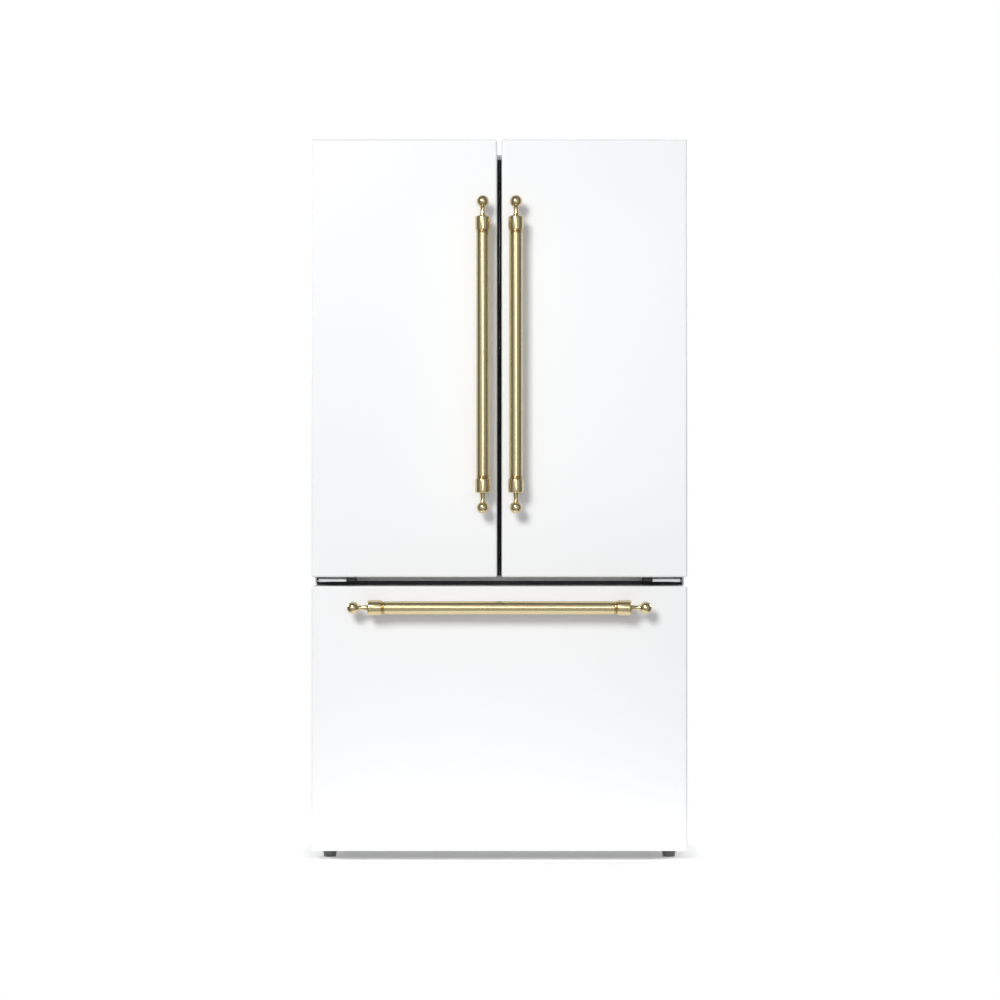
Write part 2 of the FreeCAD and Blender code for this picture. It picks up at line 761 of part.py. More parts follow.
def fan_housing(radius, thick):
    """A square frame with a round duct, and struts that hold the motor behind the fan."""
    half = radius + 8
    depth = thick + 16
    frame = rounded(box(-half, half, -half, half, 0, depth), 6, "z")
    frame = frame.cut(rod(0, 0, -1, radius + 3, depth + 2))
    motor = rod(0, 0, thick + 2, radius * 0.36, 14)
    for angle in (0, 90, 180, 270):
        strut = box(radius * 0.3, radius + 4, -3, 3, thick + 8, thick + 14)
        strut.rotate(Vec(0, 0, 0), Vec(0, 0, 1), angle + 45)
        motor = motor.fuse(strut)
    return frame.fuse(motor).cut(rod(0, 0, thick, 3 + running, 14.6))


evaporator_fan_place = (0, room_back - evaporator_space + 6, fan_z)
machine_fan_place = (60, (machine_front + panel_y) / 2, case_bottom + machine_height / 2)


def fan_housings():
    """Frames and motors of the evaporator fan and the condenser fan."""
    return group([placed(fan_housing(fan_radius, fan_thick), evaporator_fan_place, (0, 1, 0)),
                  placed(fan_housing(machine_fan_radius, fan_thick), machine_fan_place, (-1, 0, 0))])


def finned_coil(x0, x1, y, z, rows, columns, pitch, depth):
    """Fins on serpentine tubes; rows go up, columns go back."""
    height = pitch * (rows - 1) + 2 * coil_margin
    places = [(y + pitch * j + coil_margin, z + pitch * i + coil_margin)
              for j in range(columns) for i in range(rows)]
    blank = box(0, 0.8, y, y + depth, z, z + height)
    for place_y, place_z in places:
        blank = blank.cut(rod(-1, place_y, place_z, coil_radius, 3, (1, 0, 0)))
    fins = []
    for i in range(int((x1 - x0) // fin_pitch) + 1):
        fin = blank.copy()
        fin.translate(Vec(x0 + fin_pitch * i, 0, 0))
        fins.append(fin)
    tubes = []
    for j in range(columns):
        for i in range(rows):
            place_y, place_z = places[j * rows + i]
            tubes.append(rod(x0 - 12, place_y, place_z, coil_radius, x1 - x0 + 24, (1, 0, 0)))
            if i + 1 < rows:
                end = x1 + 12 if i % 2 == 0 else x0 - 12
                middle = Vec(end, place_y, place_z + pitch / 2)
                bend = Part.makeTorus(pitch / 2, coil_radius, middle, Vec(0, 1, 0))
                half = box(end, end + 60, y - 20, y + depth + 20, z - 20, z + height + 20)
                if i % 2 == 1:
                    half.translate(Vec(-60, 0, 0))
                tubes.append(bend.common(half))
    coil = tubes[0].fuse(tubes[1:])
    return fins + [coil]


def evaporator():
    """Finned coil behind the freezer cover, with the defrost heater under it."""
    half = inner_half - 70
    y0 = room_back - evaporator_space + 12
    z0 = step_z + liner + 30
    rows = 4
    pitch = min(coil_pitch, (fan_z - fan_radius - 10 - z0 - 2 * coil_margin) / (rows - 1))
    coil = finned_coil(-half, half, y0, z0, rows, 2, pitch, 54)
    heater = rod(-half - 10, y0 + 27, z0 - 14, 4, 2 * half + 20, (1, 0, 0))
    return group(coil + [heater])


def compressor():
    """Welded steel shell on its mounting feet, with the terminal cover."""
    x = -compressor_radius - 120
    y = (machine_front + panel_y) / 2
    low = base_tray_z + base_metal + 8
    radius = compressor_radius
    height = compressor_height
    points = [(0, radius * 0.62), (radius * 0.10, radius * 0.86), (radius * 0.28, radius),
              (height * 0.5, radius), (height * 0.5, radius + 2), (height * 0.53, radius + 2),
              (height * 0.53, radius), (height - radius * 0.3, radius),
              (height - radius * 0.1, radius * 0.84), (height, radius * 0.5)]
    shell = turned(points, (x, y, low), (0, 0, 1))
    foot = rounded(box(x - radius - 14, x + radius + 14, y - 42, y + 42, low - 3, low + 1), 10, "z")
    shell = shell.fuse([foot] + [rod(x + i * (radius + 2), y + j * 30, low - 8, 7, 5.5)
                                 for i in (-1, 1) for j in (-1, 1)])
    cover = box(x + radius - 8, x + radius + 22, y - 24, y + 24, low + 50, low + 110)
    return shell.fuse(rounded(cover, 4, "x"))


def condenser():
    """Finned coil in the machine compartment, and the pipe that leads to it."""
    x0 = machine_fan_place[0] + 42
    depth = 54 + 26
    y0 = (machine_front + panel_y) / 2 - depth / 2
    coil = finned_coil(x0, x0 + 180, y0, case_bottom + 22, 6, 3, 26, depth)
    return group(coil)


def drain_pan():
    """Shallow tray under the condenser that catches the defrost water."""
    x0 = machine_fan_place[0] + 5
    return tub(x0, x0 + 250, machine_front + 20, panel_y - 12, base_tray_z + base_metal, case_bottom + 14,
               2.5, 8, "+z")


# ---- Front panels
def panel_cavity(x0, x1, z0, z1):
    """The space inside a front's folded skin, open at the back."""
    space = box(x0 + skin, x1 - skin, door_front + skin, door_back + 5, z0 + skin, z1 - skin)
    space = rounded(space, door_radius - skin, "y")
    return rounded(space, door_radius - skin, "xz", lambda p: p.y < door_back - 5)


def panel_skin(x0, x1, z0, z1):
    """Painted steel pan of a door or drawer front."""
    block = rounded(box(x0, x1, door_front, door_back, z0, z1), door_radius, "y")
    block = rounded(block, door_radius, "xz", lambda p: p.y < door_front + 1)
    return block.cut(panel_cavity(x0, x1, z0, z1))


def dyke_blocks(x0, x1, z0, z1, depth):
    """Foam that fills the raised frame of a liner: two uprights and two rungs."""
    low = door_back - door_liner
    high = door_back + depth - door_liner
    inset = door_liner
    width = dyke_width - 2 * inset
    xa, xb, za, zb = x0 + inset, x1 - inset, z0 + inset, z1 - inset
    corner = dyke_radius
    return [box(xa, xa + width, low, high, za + corner, zb - corner),
            box(xb - width, xb, low, high, za + corner, zb - corner),
            box(xa + width + 2, xb - width - 2, low, high, za, za + width),
            box(xa + width + 2, xb - width - 2, low, high, zb - width, zb)]


def panel_liner(x0, x1, z0, z1, frame, depth):
    """Moulded inner skin: a flat flange with a raised hollow frame."""
    plate = box(x0, x1, door_back - door_liner, door_back, z0, z1).common(panel_cavity(x0, x1, z0, z1))
    a, b, c, d = frame
    raised = ring(a, b, c, d, dyke_width, door_back - door_liner, door_back + depth, dyke_radius)
    raised = rounded(raised, 3, "xz", lambda p: p.y > door_back + depth - 0.5)
    hollow = ring(a + door_liner, b - door_liner, c + door_liner, d - door_liner,
                  dyke_width - 2 * door_liner, door_back - 2 * door_liner,
                  door_back + depth - door_liner, dyke_radius - door_liner)
    return plate.fuse(raised).cut(hollow)


left_frame = (-dyke_outer, -dyke_centre, dyke_bottom, dyke_top)
drawer_frame = (-dyke_outer, dyke_outer, freezer_floor + dyke_clear, freezer_ceiling - dyke_clear)


def pocket():
    """Space in the upper outer corner of the left door for the hinge arm."""
    return box(-half_width - 1, -half_width + pocket_width, door_front + pocket_lip, door_back + 1,
               pocket_floor, overall_height + 1)


def left_bush_blocks():
    """Bearing blocks in the left door, at the bottom and under the hinge pocket, without bores."""
    size = bush_size
    bottom = box(-pivot_x - size, -pivot_x + size, pivot_y - size, pivot_y + size,
                 door_bottom + skin, door_bottom + skin + bush_depth + 4)
    top = box(-pivot_x - size, -pivot_x + size, pivot_y - size, pivot_y + size,
              pocket_floor - bush_depth - 4, pocket_floor)
    return bottom, top


def left_door_skin():
    """Painted steel pan of the left door, notched for the hinge."""
    pan = panel_skin(-half_width, -door_inner_edge, door_bottom, overall_height)
    pan = pan.cut(pocket())
    return pan.cut(rod(-pivot_x, pivot_y, door_bottom - 1, bush_size * 0.6, skin + 2))


def left_door_foam():
    """Foam core of the left door, in blocks."""
    x0, x1 = -half_width, -door_inner_edge
    cavity = panel_cavity(x0, x1, door_bottom, overall_height)
    back = door_back - door_liner
    floor = pocket_floor - bush_wall
    inner = -half_width + pocket_width + bush_wall
    lip = door_front + pocket_lip - bush_wall
    blocks = [box(x0, x1, door_front, back, door_bottom, floor),
              box(inner, x1, door_front, back, floor, overall_height),
              box(x0, inner, door_front, lip, floor, overall_height)]
    cores = [block.common(cavity) for block in blocks]
    bottom, top = left_bush_blocks()
    cores[0] = cores[0].cut(bottom).cut(top)
    return group(cores + dyke_blocks(*left_frame, dyke_depth))


def left_door_bushes():
    """Nylon lining of the hinge pocket, both bearing bushes and the door's closing stop."""
    x0 = -half_width
    inner = x0 + pocket_width
    lip = door_front + pocket_lip
    back = door_back - door_liner
    bottom, top = left_bush_blocks()
    cavity = panel_cavity(x0, -door_inner_edge, door_bottom, overall_height)
    lining = box(x0, inner + bush_wall, lip - bush_wall, back, pocket_floor - bush_wall, overall_height)
    lining = lining.cut(box(x0 - 1, inner, lip, back + 1, pocket_floor, overall_height + 1))
    lining = lining.common(cavity).fuse(top)
    lining = lining.cut(rod(-pivot_x, pivot_y, pocket_floor - bush_depth,
                            pin_radius + running, bush_depth + 5))
    collar_low = middle_z + middle_plate + seal_clear
    collar = rod(-pivot_x, pivot_y, collar_low, bush_size * 0.55, door_bottom + 2 - collar_low)
    lower = bottom.common(cavity).fuse(collar)
    lower = lower.cut(rod(-pivot_x, pivot_y, collar_low - 1, pin_radius + running,
                          door_bottom + bush_depth + 1 - collar_low))
    stop_x = -pivot_x + leaf_reach
    stop = box(stop_x, stop_x + stop_width, pivot_y - 22, pivot_y + 15,
               door_bottom - stop_drop, door_bottom)
    return group([lining, lower, rounded(stop, 3, "z")])


flap_low = dyke_bottom + flap_end_gap + bracket_thick
flap_high = dyke_top - flap_end_gap - bracket_thick


def left_door_liner(with_flap):
    """Moulded inner skin of a door; the left one also carries the flap's two brackets."""
    x0, x1 = -half_width, -door_inner_edge
    shape = panel_liner(x0, x1, door_bottom, overall_height, left_frame, dyke_depth)
    shape = shape.cut(pocket()).cut(box(x0 - 1, x0 + pocket_width + bush_wall, door_front, door_back - 0.01,
                                        pocket_floor - bush_wall, overall_height + 1))
    shape = shape.cut(box(x0 - 1, x0 + pocket_width, door_back - 3, door_back + 1,
                          pocket_floor, overall_height + 1))
    if not with_flap:
        return shape
    brackets = []
    for z, pin_z in ((flap_high + 1, flap_high - 10), (flap_low - 1 - bracket_thick, flap_low - 1)):
        arm = box(-dyke_centre, -flap_x, flap_y - flap_thick / 2, flap_y + 14, z, z + bracket_thick)
        tip = rod(-flap_x, flap_y, z, flap_thick / 2, bracket_thick)
        pin = rod(-flap_x, flap_y, pin_z, flap_pin, 11)
        brackets.append(arm.fuse([tip, pin]))
    return group([shape] + brackets)


def panel_gasket(frame):
    """Magnetic seal all round the back of a front."""
    a, b, c, d = frame
    return ring(a, b, c, d, seal_width, door_back, case_front - seal_clear, 8)


door_seal = (-pivot_x + 2, -seal_centre, door_bottom + seal_edge, overall_height - seal_inset)
drawer_seal = (-pivot_x + 2, pivot_x - 2, freezer_low - seal_below, drawer_top - seal_edge)


def bin_span():
    """Sides of a door bin, between the uprights of the left door's frame."""
    return -dyke_outer + dyke_width + 1, -dyke_centre - dyke_width - 1


def door_bins(places):
    """Open bins hung between the uprights; places are their lowest points."""
    x0, x1 = bin_span()
    return [tub(x0, x1, door_back + 1, door_back + bin_depth, z, z + bin_height, tub_wall, 14, "+z")
            for z in places]


bin_places = [bin_low + bin_pitch * i for i in range(bin_count)]
lid_y = door_back + 17


def right_door_bins():
    """Bins of the right door; the top one is the dairy bin, with cheeks for its lid."""
    bins = door_bins(bin_places)
    x0, x1 = bin_span()
    cheeks = []
    for x in (x0, x1 - tub_wall):
        cheeks.append(box(x, x + tub_wall, door_back + 4, door_back + 30, lid_z - 40, lid_z + 8))
    bore = rod(x0 - 1, lid_y, lid_z, lid_pin + running, x1 - x0 + 2, (1, 0, 0))
    bins[-1] = bins[-1].fuse(cheeks).cut(bore)
    return mirrored(group(bins))


def dairy_lid():
    """Flip-up lid of the dairy bin with its two pivot studs."""
    x0, x1 = bin_span()
    a, b = x0 + tub_wall + 0.5, x1 - tub_wall - 0.5
    top = box(a, b, lid_y, lid_y + lid_depth, lid_z - 1.5, lid_z + 1.5)
    front = box(a, b, lid_y + lid_depth - 3, lid_y + lid_depth + 6, lid_z - 4, lid_z + 1.5)
    bar = rod(x0 + 0.5, lid_y, lid_z, lid_pin, x1 - x0 - 1, (1, 0, 0))
    return mirrored(top.fuse([front, bar]))


def mullion_flap():
    """Folding seal bar on the left door, folded back into the compartment."""
    x0 = -flap_x - flap_thick / 2
    y0 = flap_y - flap_thick / 2
    bar = rounded(box(x0, x0 + flap_thick, y0, y0 + flap_width, flap_low, flap_high), 4, "z")
    for z in (flap_low - 1, flap_high - 11):
        bar = bar.cut(rod(-flap_x, flap_y, z, flap_pin + running, 12))
    return bar


# ---- Handles
def end_fitting():
    """Bead ring, ferrule, collar, neck and ball of a handle, along +X from the end of the bar."""
    ferrule_end = bead_length + ferrule_length
    collar_end = ferrule_end + collar_length
    neck_end = collar_end + neck_length
    fitting = turned([(0, bead_radius - 2), (2, bead_radius), (bead_length - 2, bead_radius),
                      (bead_length, bead_radius - 2), (bead_length, ferrule_radius - 1.5),
                      (bead_length + 1.5, ferrule_radius), (ferrule_end - 6, ferrule_radius),
                      (ferrule_end - 2, ferrule_radius - 2), (ferrule_end, ferrule_radius - 6),
                      (ferrule_end, collar_radius), (collar_end, collar_radius),
                      (collar_end + 2, neck_radius), (neck_end, neck_radius)], (0, 0, 0), (1, 0, 0))
    ball = Part.makeSphere(ball_radius, Vec(neck_end + ball_radius - 3, 0, 0))
    return fitting, ball


end_length = bead_length + ferrule_length + collar_length + neck_length + 2 * ball_radius - 3


def handle(start, end):
    """The bar of a handle from tip to tip, and its two end fittings with posts to the front."""
    run = Vec(*end) - Vec(*start)
    length = run.Length
    along = run.normalize()
    bar = Part.makeCylinder(bar_radius, length - 2 * end_length, Vec(*start) + along * end_length, along)
    mounts = []
    for tip, way in ((Vec(*end), along), (Vec(*start), along * -1)):
        base = tip - way * end_length
        fitting, ball = end_fitting()
        turn = FreeCAD.Placement(base, FreeCAD.Rotation(Vec(1, 0, 0), way))
        fitting.Placement = turn
        ball.Placement = turn.multiply(ball.Placement)
        middle = base + way * (bead_length + ferrule_length / 2)
        reach = door_front - handle_y
        post = Part.makeCylinder(post_radius, reach, middle, Vec(0, 1, 0))
        seat = middle + Vec(0, reach - post_foot, 0)
        foot = Part.makeCylinder(post_foot_radius, post_foot, seat, Vec(0, 1, 0))
        mounts.append(fitting.fuse([ball, post, foot]))
    return bar, group(mounts)


left_handle_bar, left_handle_mounts = handle(
    (-handle_from_centre, handle_y, door_bottom + handle_bottom_margin),
    (-handle_from_centre, handle_y, overall_height - handle_top_margin))
drawer_handle_bar, drawer_handle_mounts = handle(
    (-half_width + drawer_handle_end, handle_y, drawer_top - drawer_handle_drop),
    (half_width - drawer_handle_end, handle_y, drawer_top - drawer_handle_drop))


# ---- Freezer drawer
def drawer_foam():
    """Foam core of the drawer front, in blocks."""
    cavity = panel_cavity(-half_width, half_width, drawer_bottom, drawer_top)
    core = box(-half_width, half_width, door_front, door_back - door_liner, drawer_bottom, drawer_top)
    return group([core.common(cavity)] + dyke_blocks(*drawer_frame, drawer_dyke_depth))


slide_high = slide_z + slide_height


def channel(x, width, low, high, y0, y1):
    """A C-shaped slide member of the left side, open towards the middle."""
    body = box(x, x + width, y0, y1, low, high)
    return body.cut(box(x + slide_metal, x + width + 1, y0 - 1, y1 + 1,
                        low + slide_metal, high - slide_metal))


member_step = slide_metal + slide_clear
member_start = slide_front + 8


def slide_outer_members():
    """Fixed slide channels on the freezer walls."""
    return group(pair(channel(-inner_half, slide_width, slide_z, slide_high, member_start, slide_back)))


def slide_middle_members():
    """Middle slide channels, which travel half as far as the drawer."""
    return group(pair(channel(-inner_half + member_step, slide_width, slide_z + member_step,
                              slide_high - member_step, member_start, slide_back)))


inner_x = -inner_half + 2 * member_step
basket_half = inner_half - 34


def slide_inner_members():
    """Inner slide bars with the brackets to the drawer front and the ledges for the basket."""
    low = slide_z + 2 * member_step
    high = slide_high - 2 * member_step
    bar = box(inner_x, inner_x + 6, slide_front, slide_back, low, high)
    plate = box(inner_x, inner_x + 44, slide_front, slide_front + 3, low - 30, high + 30)
    plate = rounded(plate, 6, "y")
    shelf = box(inner_x + 5, -basket_half - 6, slide_front, slide_back - 20, high - 3, high)
    return group(pair(bar.fuse([plate, shelf])))


basket_rim = slide_high - 2 * member_step
basket_back = step_y - liner - 18


def drawer_basket():
    """Deep freezer basket hung on the slide ledges."""
    body = tub(-basket_half, basket_half, slide_front + 7, basket_back, freezer_floor + basket_floor_gap,
               basket_rim + flange_thick, tray_wall, 16, "+z")
    flange = box(basket_half - 1, basket_half + 14, slide_front + 25, basket_back - 25,
                 basket_rim, basket_rim + flange_thick)
    return body.fuse(pair(flange))


tray_low = basket_rim + flange_thick + slide_clear


def drawer_tray():
    """Shallow upper tray that slides back over the basket's rims."""
    half = basket_half + 8
    body = tub(-half, half, slide_front + 10, basket_back - 5, tray_low, tray_low + tray_height,
               tray_wall, 12, "+z")
    grip = box(-70, 70, slide_front + 8, slide_front + 15,
               tray_low + tray_height - 32, tray_low + tray_height - 12)
    return body.cut(rounded(grip, 6, "y"))


nodes = {
    "cabinet_wrapper": cabinet_wrapper(),
    "back_panel": back_panel(),
    "insulation_foam": insulation_foam(),
    "fridge_liner": fridge_liner(),
    "freezer_liner": freezer_liner(),
    "base_frame": base_frame(),
    "rear_rollers": rear_rollers(),
    "levelling_feet": levelling_feet(),
    "machine_cover": machine_cover(),
    "rear_electrics": rear_electrics(),
    "top_hinges": top_hinges(),
    "hinge_covers": hinge_covers(),
    "middle_hinges": middle_hinges(),
    "shelf_frames": shelf_frames(),
    "shelf_glass": shelf_glass(),
    "shelf_supports": shelf_supports(),
    "left_crisper": crisper(-1),
    "right_crisper": crisper(1),
    "left_humidity_slider": humidity_slider(-1),
    "right_humidity_slider": humidity_slider(1),
    "deli_drawer": deli_drawer(),
    "air_duct_panels": air_duct_panels(),
    "light_covers": light_covers(),
    "control_panel": control_panel(),
    "evaporator": evaporator(),
    "fan_housings": fan_housings(),
    "evaporator_fan": placed(fan(fan_radius, fan_thick, 5), evaporator_fan_place, (0, 1, 0)),
    "condenser_fan": placed(fan(machine_fan_radius, fan_thick, 5), machine_fan_place, (-1, 0, 0)),
    "compressor": compressor(),
    "condenser": condenser(),
    "drain_pan": drain_pan(),
    "left_door_skin": left_door_skin(),
    "left_door_foam": left_door_foam(),
    "left_door_bushes": left_door_bushes(),
    "left_door_liner": left_door_liner(True),
    "left_door_gasket": panel_gasket(door_seal),
    "left_door_bins": group(door_bins(bin_places)),
    "left_handle_bar": left_handle_bar,
    "left_handle_mounts": left_handle_mounts,
    "mullion_flap": mullion_flap(),
    "right_door_skin": mirrored(left_door_skin()),
    "right_door_foam": mirrored(left_door_foam()),
    "right_door_bushes": mirrored(left_door_bushes()),
    "right_door_liner": mirrored(left_door_liner(False)),
    "right_door_gasket": mirrored(panel_gasket(door_seal)),
    "right_door_bins": right_door_bins(),
    "right_handle_bar": mirrored(left_handle_bar),
    "right_handle_mounts": mirrored(left_handle_mounts),
    "dairy_lid": dairy_lid(),
    "drawer_skin": panel_skin(-half_width, half_width, drawer_bottom, drawer_top),
    "drawer_foam": drawer_foam(),
    "drawer_liner": panel_liner(-half_width, half_width, drawer_bottom, drawer_top,
                                drawer_frame, drawer_dyke_depth),
    "drawer_gasket": panel_gasket(drawer_seal),
    "drawer_handle_bar": drawer_handle_bar,
    "drawer_handle_mounts": drawer_handle_mounts,
    "slide_outer_members": slide_outer_members(),
    "slide_middle_members": slide_middle_members(),
    "slide_inner_members": slide_inner_members(),
    "drawer_basket": drawer_basket(),
    "drawer_tray": drawer_tray(),
}

os.makedirs("parts", exist_ok=True)
for name, shape in nodes.items():
    shape.exportStep("parts/" + name + ".step")
print(len(nodes), "nodes")
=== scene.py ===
"""Looks and stage for a french door refrigerator: enamelled fronts, turned brass handles,
moulded lining and fittings, cooling circuit and base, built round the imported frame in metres."""

import json
import math

import bpy
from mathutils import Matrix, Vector


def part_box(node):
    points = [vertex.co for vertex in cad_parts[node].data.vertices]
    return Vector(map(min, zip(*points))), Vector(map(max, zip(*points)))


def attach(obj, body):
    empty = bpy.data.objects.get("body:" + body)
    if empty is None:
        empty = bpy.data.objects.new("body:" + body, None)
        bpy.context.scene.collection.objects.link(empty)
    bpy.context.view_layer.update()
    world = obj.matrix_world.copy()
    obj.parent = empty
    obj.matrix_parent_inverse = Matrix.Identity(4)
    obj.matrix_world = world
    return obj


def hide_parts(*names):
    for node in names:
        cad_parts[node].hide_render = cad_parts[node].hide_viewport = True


bl_info = {
    "name": "French Door Refrigerator",
    "version": (1, 0, 0),
    "blender": (4, 5, 0),
    "location": "View3D > Sidebar > Refrigerator",
    "description": "Builds the looks, brass handles, seals, trims and studio of a french door refrigerator",
    "category": "Object",
}

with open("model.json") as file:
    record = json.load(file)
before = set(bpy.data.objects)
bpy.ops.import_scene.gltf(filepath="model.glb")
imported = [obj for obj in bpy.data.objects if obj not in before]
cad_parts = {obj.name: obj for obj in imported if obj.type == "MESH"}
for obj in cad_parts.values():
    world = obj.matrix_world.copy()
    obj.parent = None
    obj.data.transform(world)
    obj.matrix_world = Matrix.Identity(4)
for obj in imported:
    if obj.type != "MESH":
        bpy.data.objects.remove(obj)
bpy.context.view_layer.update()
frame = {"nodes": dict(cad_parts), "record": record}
NODES = frame["nodes"]
SLOT_OF = {part["node"]: part["material_slot"] for part in frame["record"]["subparts"]}
BODY_OF = {node: body for body, nodes in frame["record"]["behaviour"]["bodies"].items() for node in nodes}
MM = 0.001


# ---- Measures taken from the frame
def size_of(node):
    """Width, depth and height of a node."""
    low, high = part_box(node)
    return high - low


def nearest_to_middle(node):
    """Smallest distance of a node's corners from the middle plane."""
    return min(abs(corner.co.x) for corner in NODES[node].data.vertices)


# ---- Colour
def linear(code):
    """Turn an sRGB hex code into linear red, green, blue and alpha."""
    values = [int(code[i:i + 2], 16) / 255 for i in (1, 3, 5)]
    return tuple(v / 12.92 if v <= 0.04045 else ((v + 0.055) / 1.055) ** 2.4 for v in values) + (1.0,)


def colour_property(label, note, code):
    """A colour swatch whose default is an sRGB hex code."""
    return bpy.props.FloatVectorProperty(
        name=label, description=note, subtype="COLOR", size=4, min=0.0, max=1.0, default=linear(code))


def length_property(label, note, value):
    """A length in metres."""
    return bpy.props.FloatProperty(
        name=label, description=note, subtype="DISTANCE", unit="LENGTH", min=0.0, default=value)


def number_property(label, note, value):
    """A plain number."""
    return bpy.props.FloatProperty(name=label, description=note, min=0.0, default=value)


class RefrigeratorColours(bpy.types.PropertyGroup):
    """Colours of the finishes."""
    front_enamel: colour_property("Front enamel", "Baked enamel of the doors and the drawer", "#F6F6F5")
    case_enamel: colour_property("Case enamel", "Pebbled enamel of the cabinet", "#EFEFED")
    brass: colour_property("Brass", "Turned and polished brass of the handles", "#E1CE9F")
    lining: colour_property("Lining", "Vacuum-formed polystyrene of the compartments", "#EEF0F0")
    moulding: colour_property("Mouldings", "Injection-moulded ABS of rims, ducts and caps", "#E9EBEB")
    clear: colour_property("Clear plastic", "Clear polystyrene of the bins and crispers", "#F8FCFD")
    glass: colour_property("Glass", "Toughened glass of the shelves", "#EAF6F1")
    vinyl: colour_property("Seal", "Extruded vinyl of the magnetic seals", "#D3D4D2")
    zinc: colour_property("Zinc", "Zinc plating of hinges and slides", "#BFC3C6")
    black_steel: colour_property("Black steel", "Stove enamel of the compressor and the base", "#17181A")
    black_nylon: colour_property("Black nylon", "Glass-filled nylon of bushes and fans", "#141415")
    grey_nylon: colour_property("Grey nylon", "Nylon of the feet and rollers", "#77787A")
    back_paint: colour_property("Back paint", "Grey coil coating of the back panel", "#A7A9AB")
    copper: colour_property("Copper", "Drawn copper of the refrigerant pipes", "#D08A62")


class RefrigeratorHandles(bpy.types.PropertyGroup):
    """Sizes of the turned handles."""
    bar_radius: length_property("Bar radius", "Radius of the round bar", size_of("left_handle_bar").x / 2)
    ferrule_radius: length_property(
        "Ferrule radius", "Radius of the widest sleeve at each end", size_of("left_handle_mounts").x / 2)
    ball_radius: length_property("Ball radius", "Radius of the end balls", 15.0 * MM)
    neck_radius: length_property("Neck radius", "Radius of the waist under the ball", 5.0 * MM)
    bead_length: length_property("Bead length", "Length of the beaded rings", 8.0 * MM)
    ferrule_length: length_property("Ferrule length", "Length of the sleeve", 33.0 * MM)
    post_radius: length_property("Post radius", "Radius of the stand-off posts", 11.0 * MM)
    rose_radius: length_property("Rose radius", "Radius of the post's foot on the door", 15.0 * MM)


class RefrigeratorStage(bpy.types.PropertyGroup):
    """Camera, lights and floor."""
    view_distance: length_property("View distance", "Camera distance in front of the doors", 7.0)
    view_width: length_property("View width", "Width that the camera takes in at the doors", 2.4202)
    view_height: length_property("View height", "Height of the camera above the floor", 0.877)
    view_side: length_property("View side", "Sideways shift of the camera", 0.0015)
    front_glow: number_property("Front glow", "Brightness of the surroundings behind the camera", 0.5)
    room_glow: number_property("Room glow", "Brightness of the other surroundings", 0.2)
    key_power: number_property("Key power", "Power of the main softbox in watts", 440.0)
    side_power: number_property("Side power", "Power of each side softbox in watts", 75.0)
    strip_power: number_property("Strip power", "Watts of the strip that only shines in metal", 19.0)
    floor_glow: number_property("Floor glow", "Light that comes up through the floor", 0.3)
    floor: colour_property("Floor", "Pale floor", "#F4F4F4")
    sky: colour_property("Sky", "Tint of the surroundings", "#F6F9FF")
    backdrop: colour_property("Backdrop", "What the camera sees behind the object", "#FFFFFF")


# ---- Materials
def add_node(tree, kind, values=(), links=()):
    """Add one shader node, set its values and join its inputs."""
    new = tree.nodes.new(kind)
    for key, value in dict(values).items():
        if key in new.inputs:
            new.inputs[key].default_value = value
        else:
            setattr(new, key, value)
    for key, source in dict(links).items():
        tree.links.new(source, new.inputs[key])
    return new


def blank_material(name):
    """A new material and its tree, with only a principled shader and the output."""
    made = bpy.data.materials.new(name)
    made.use_nodes = True
    tree = made.node_tree
    shader = tree.nodes["Principled BSDF"]
    return made, tree, shader


def set_shader(shader, **values):
    """Set constant sockets of the principled shader."""
    for key, value in values.items():
        shader.inputs[key.replace("_", " ")].default_value = value


def patterned(name, values, pattern, settings, output, stretch=(1.0, 1.0, 1.0), gloss=None, relief=None,
              tint=None):
    """A finish that follows one pattern in metres. Gloss is a range of roughness, relief a depth in mm
    and a strength, and tint the colours of the pattern's low and high places."""
    made, tree, shader = blank_material(name)
    set_shader(shader, **values)
    place = add_node(tree, "ShaderNodeTexCoord")
    space = add_node(tree, "ShaderNodeMapping", {"Scale": stretch}, {"Vector": place.outputs["Object"]})
    source = add_node(tree, pattern, settings, {"Vector": space.outputs["Vector"]}).outputs[output]
    if gloss:
        spread = add_node(tree, "ShaderNodeMapRange", {"To Min": gloss[0], "To Max": gloss[1]},
                          {"Value": source})
        tree.links.new(spread.outputs["Result"], shader.inputs["Roughness"])
    if relief:
        bump = add_node(tree, "ShaderNodeBump", {"Distance": relief[0] * MM, "Strength": relief[1]},
                        {"Height": source})
        tree.links.new(bump.outputs["Normal"], shader.inputs["Normal"])
    if tint:
        ramp = add_node(tree, "ShaderNodeValToRGB", {}, {"Fac": source})
        ramp.color_ramp.elements[0].color, ramp.color_ramp.elements[1].color = tint
        tree.links.new(ramp.outputs["Color"], shader.inputs["Base Color"])
    return made


def mottled(name, colour, roughness, grain_mm, depth_mm, stretch=(1.0, 1.0, 1.0), detail=3.0, **values):
    """A surface of one colour whose gloss and relief vary over grains of a real size."""
    return patterned(name, {"Base_Color": colour, **values}, "ShaderNodeTexNoise",
                     {"Scale": 1 / (grain_mm * MM), "Detail": detail}, "Fac", stretch, roughness,
                     (depth_mm, 1.0))


def baked_enamel(colours):
    """White polyester enamel sprayed on flat steel and baked."""
    # Smooth mid gloss that flows into a faint orange peel, drawn 9 mm across so that it shows.
    return mottled("baked_enamel", colours.front_enamel, (0.27, 0.34), 9.0, 0.02, detail=1.0,
                   IOR=1.5, Coat_Weight=0.25, Coat_Roughness=0.12)


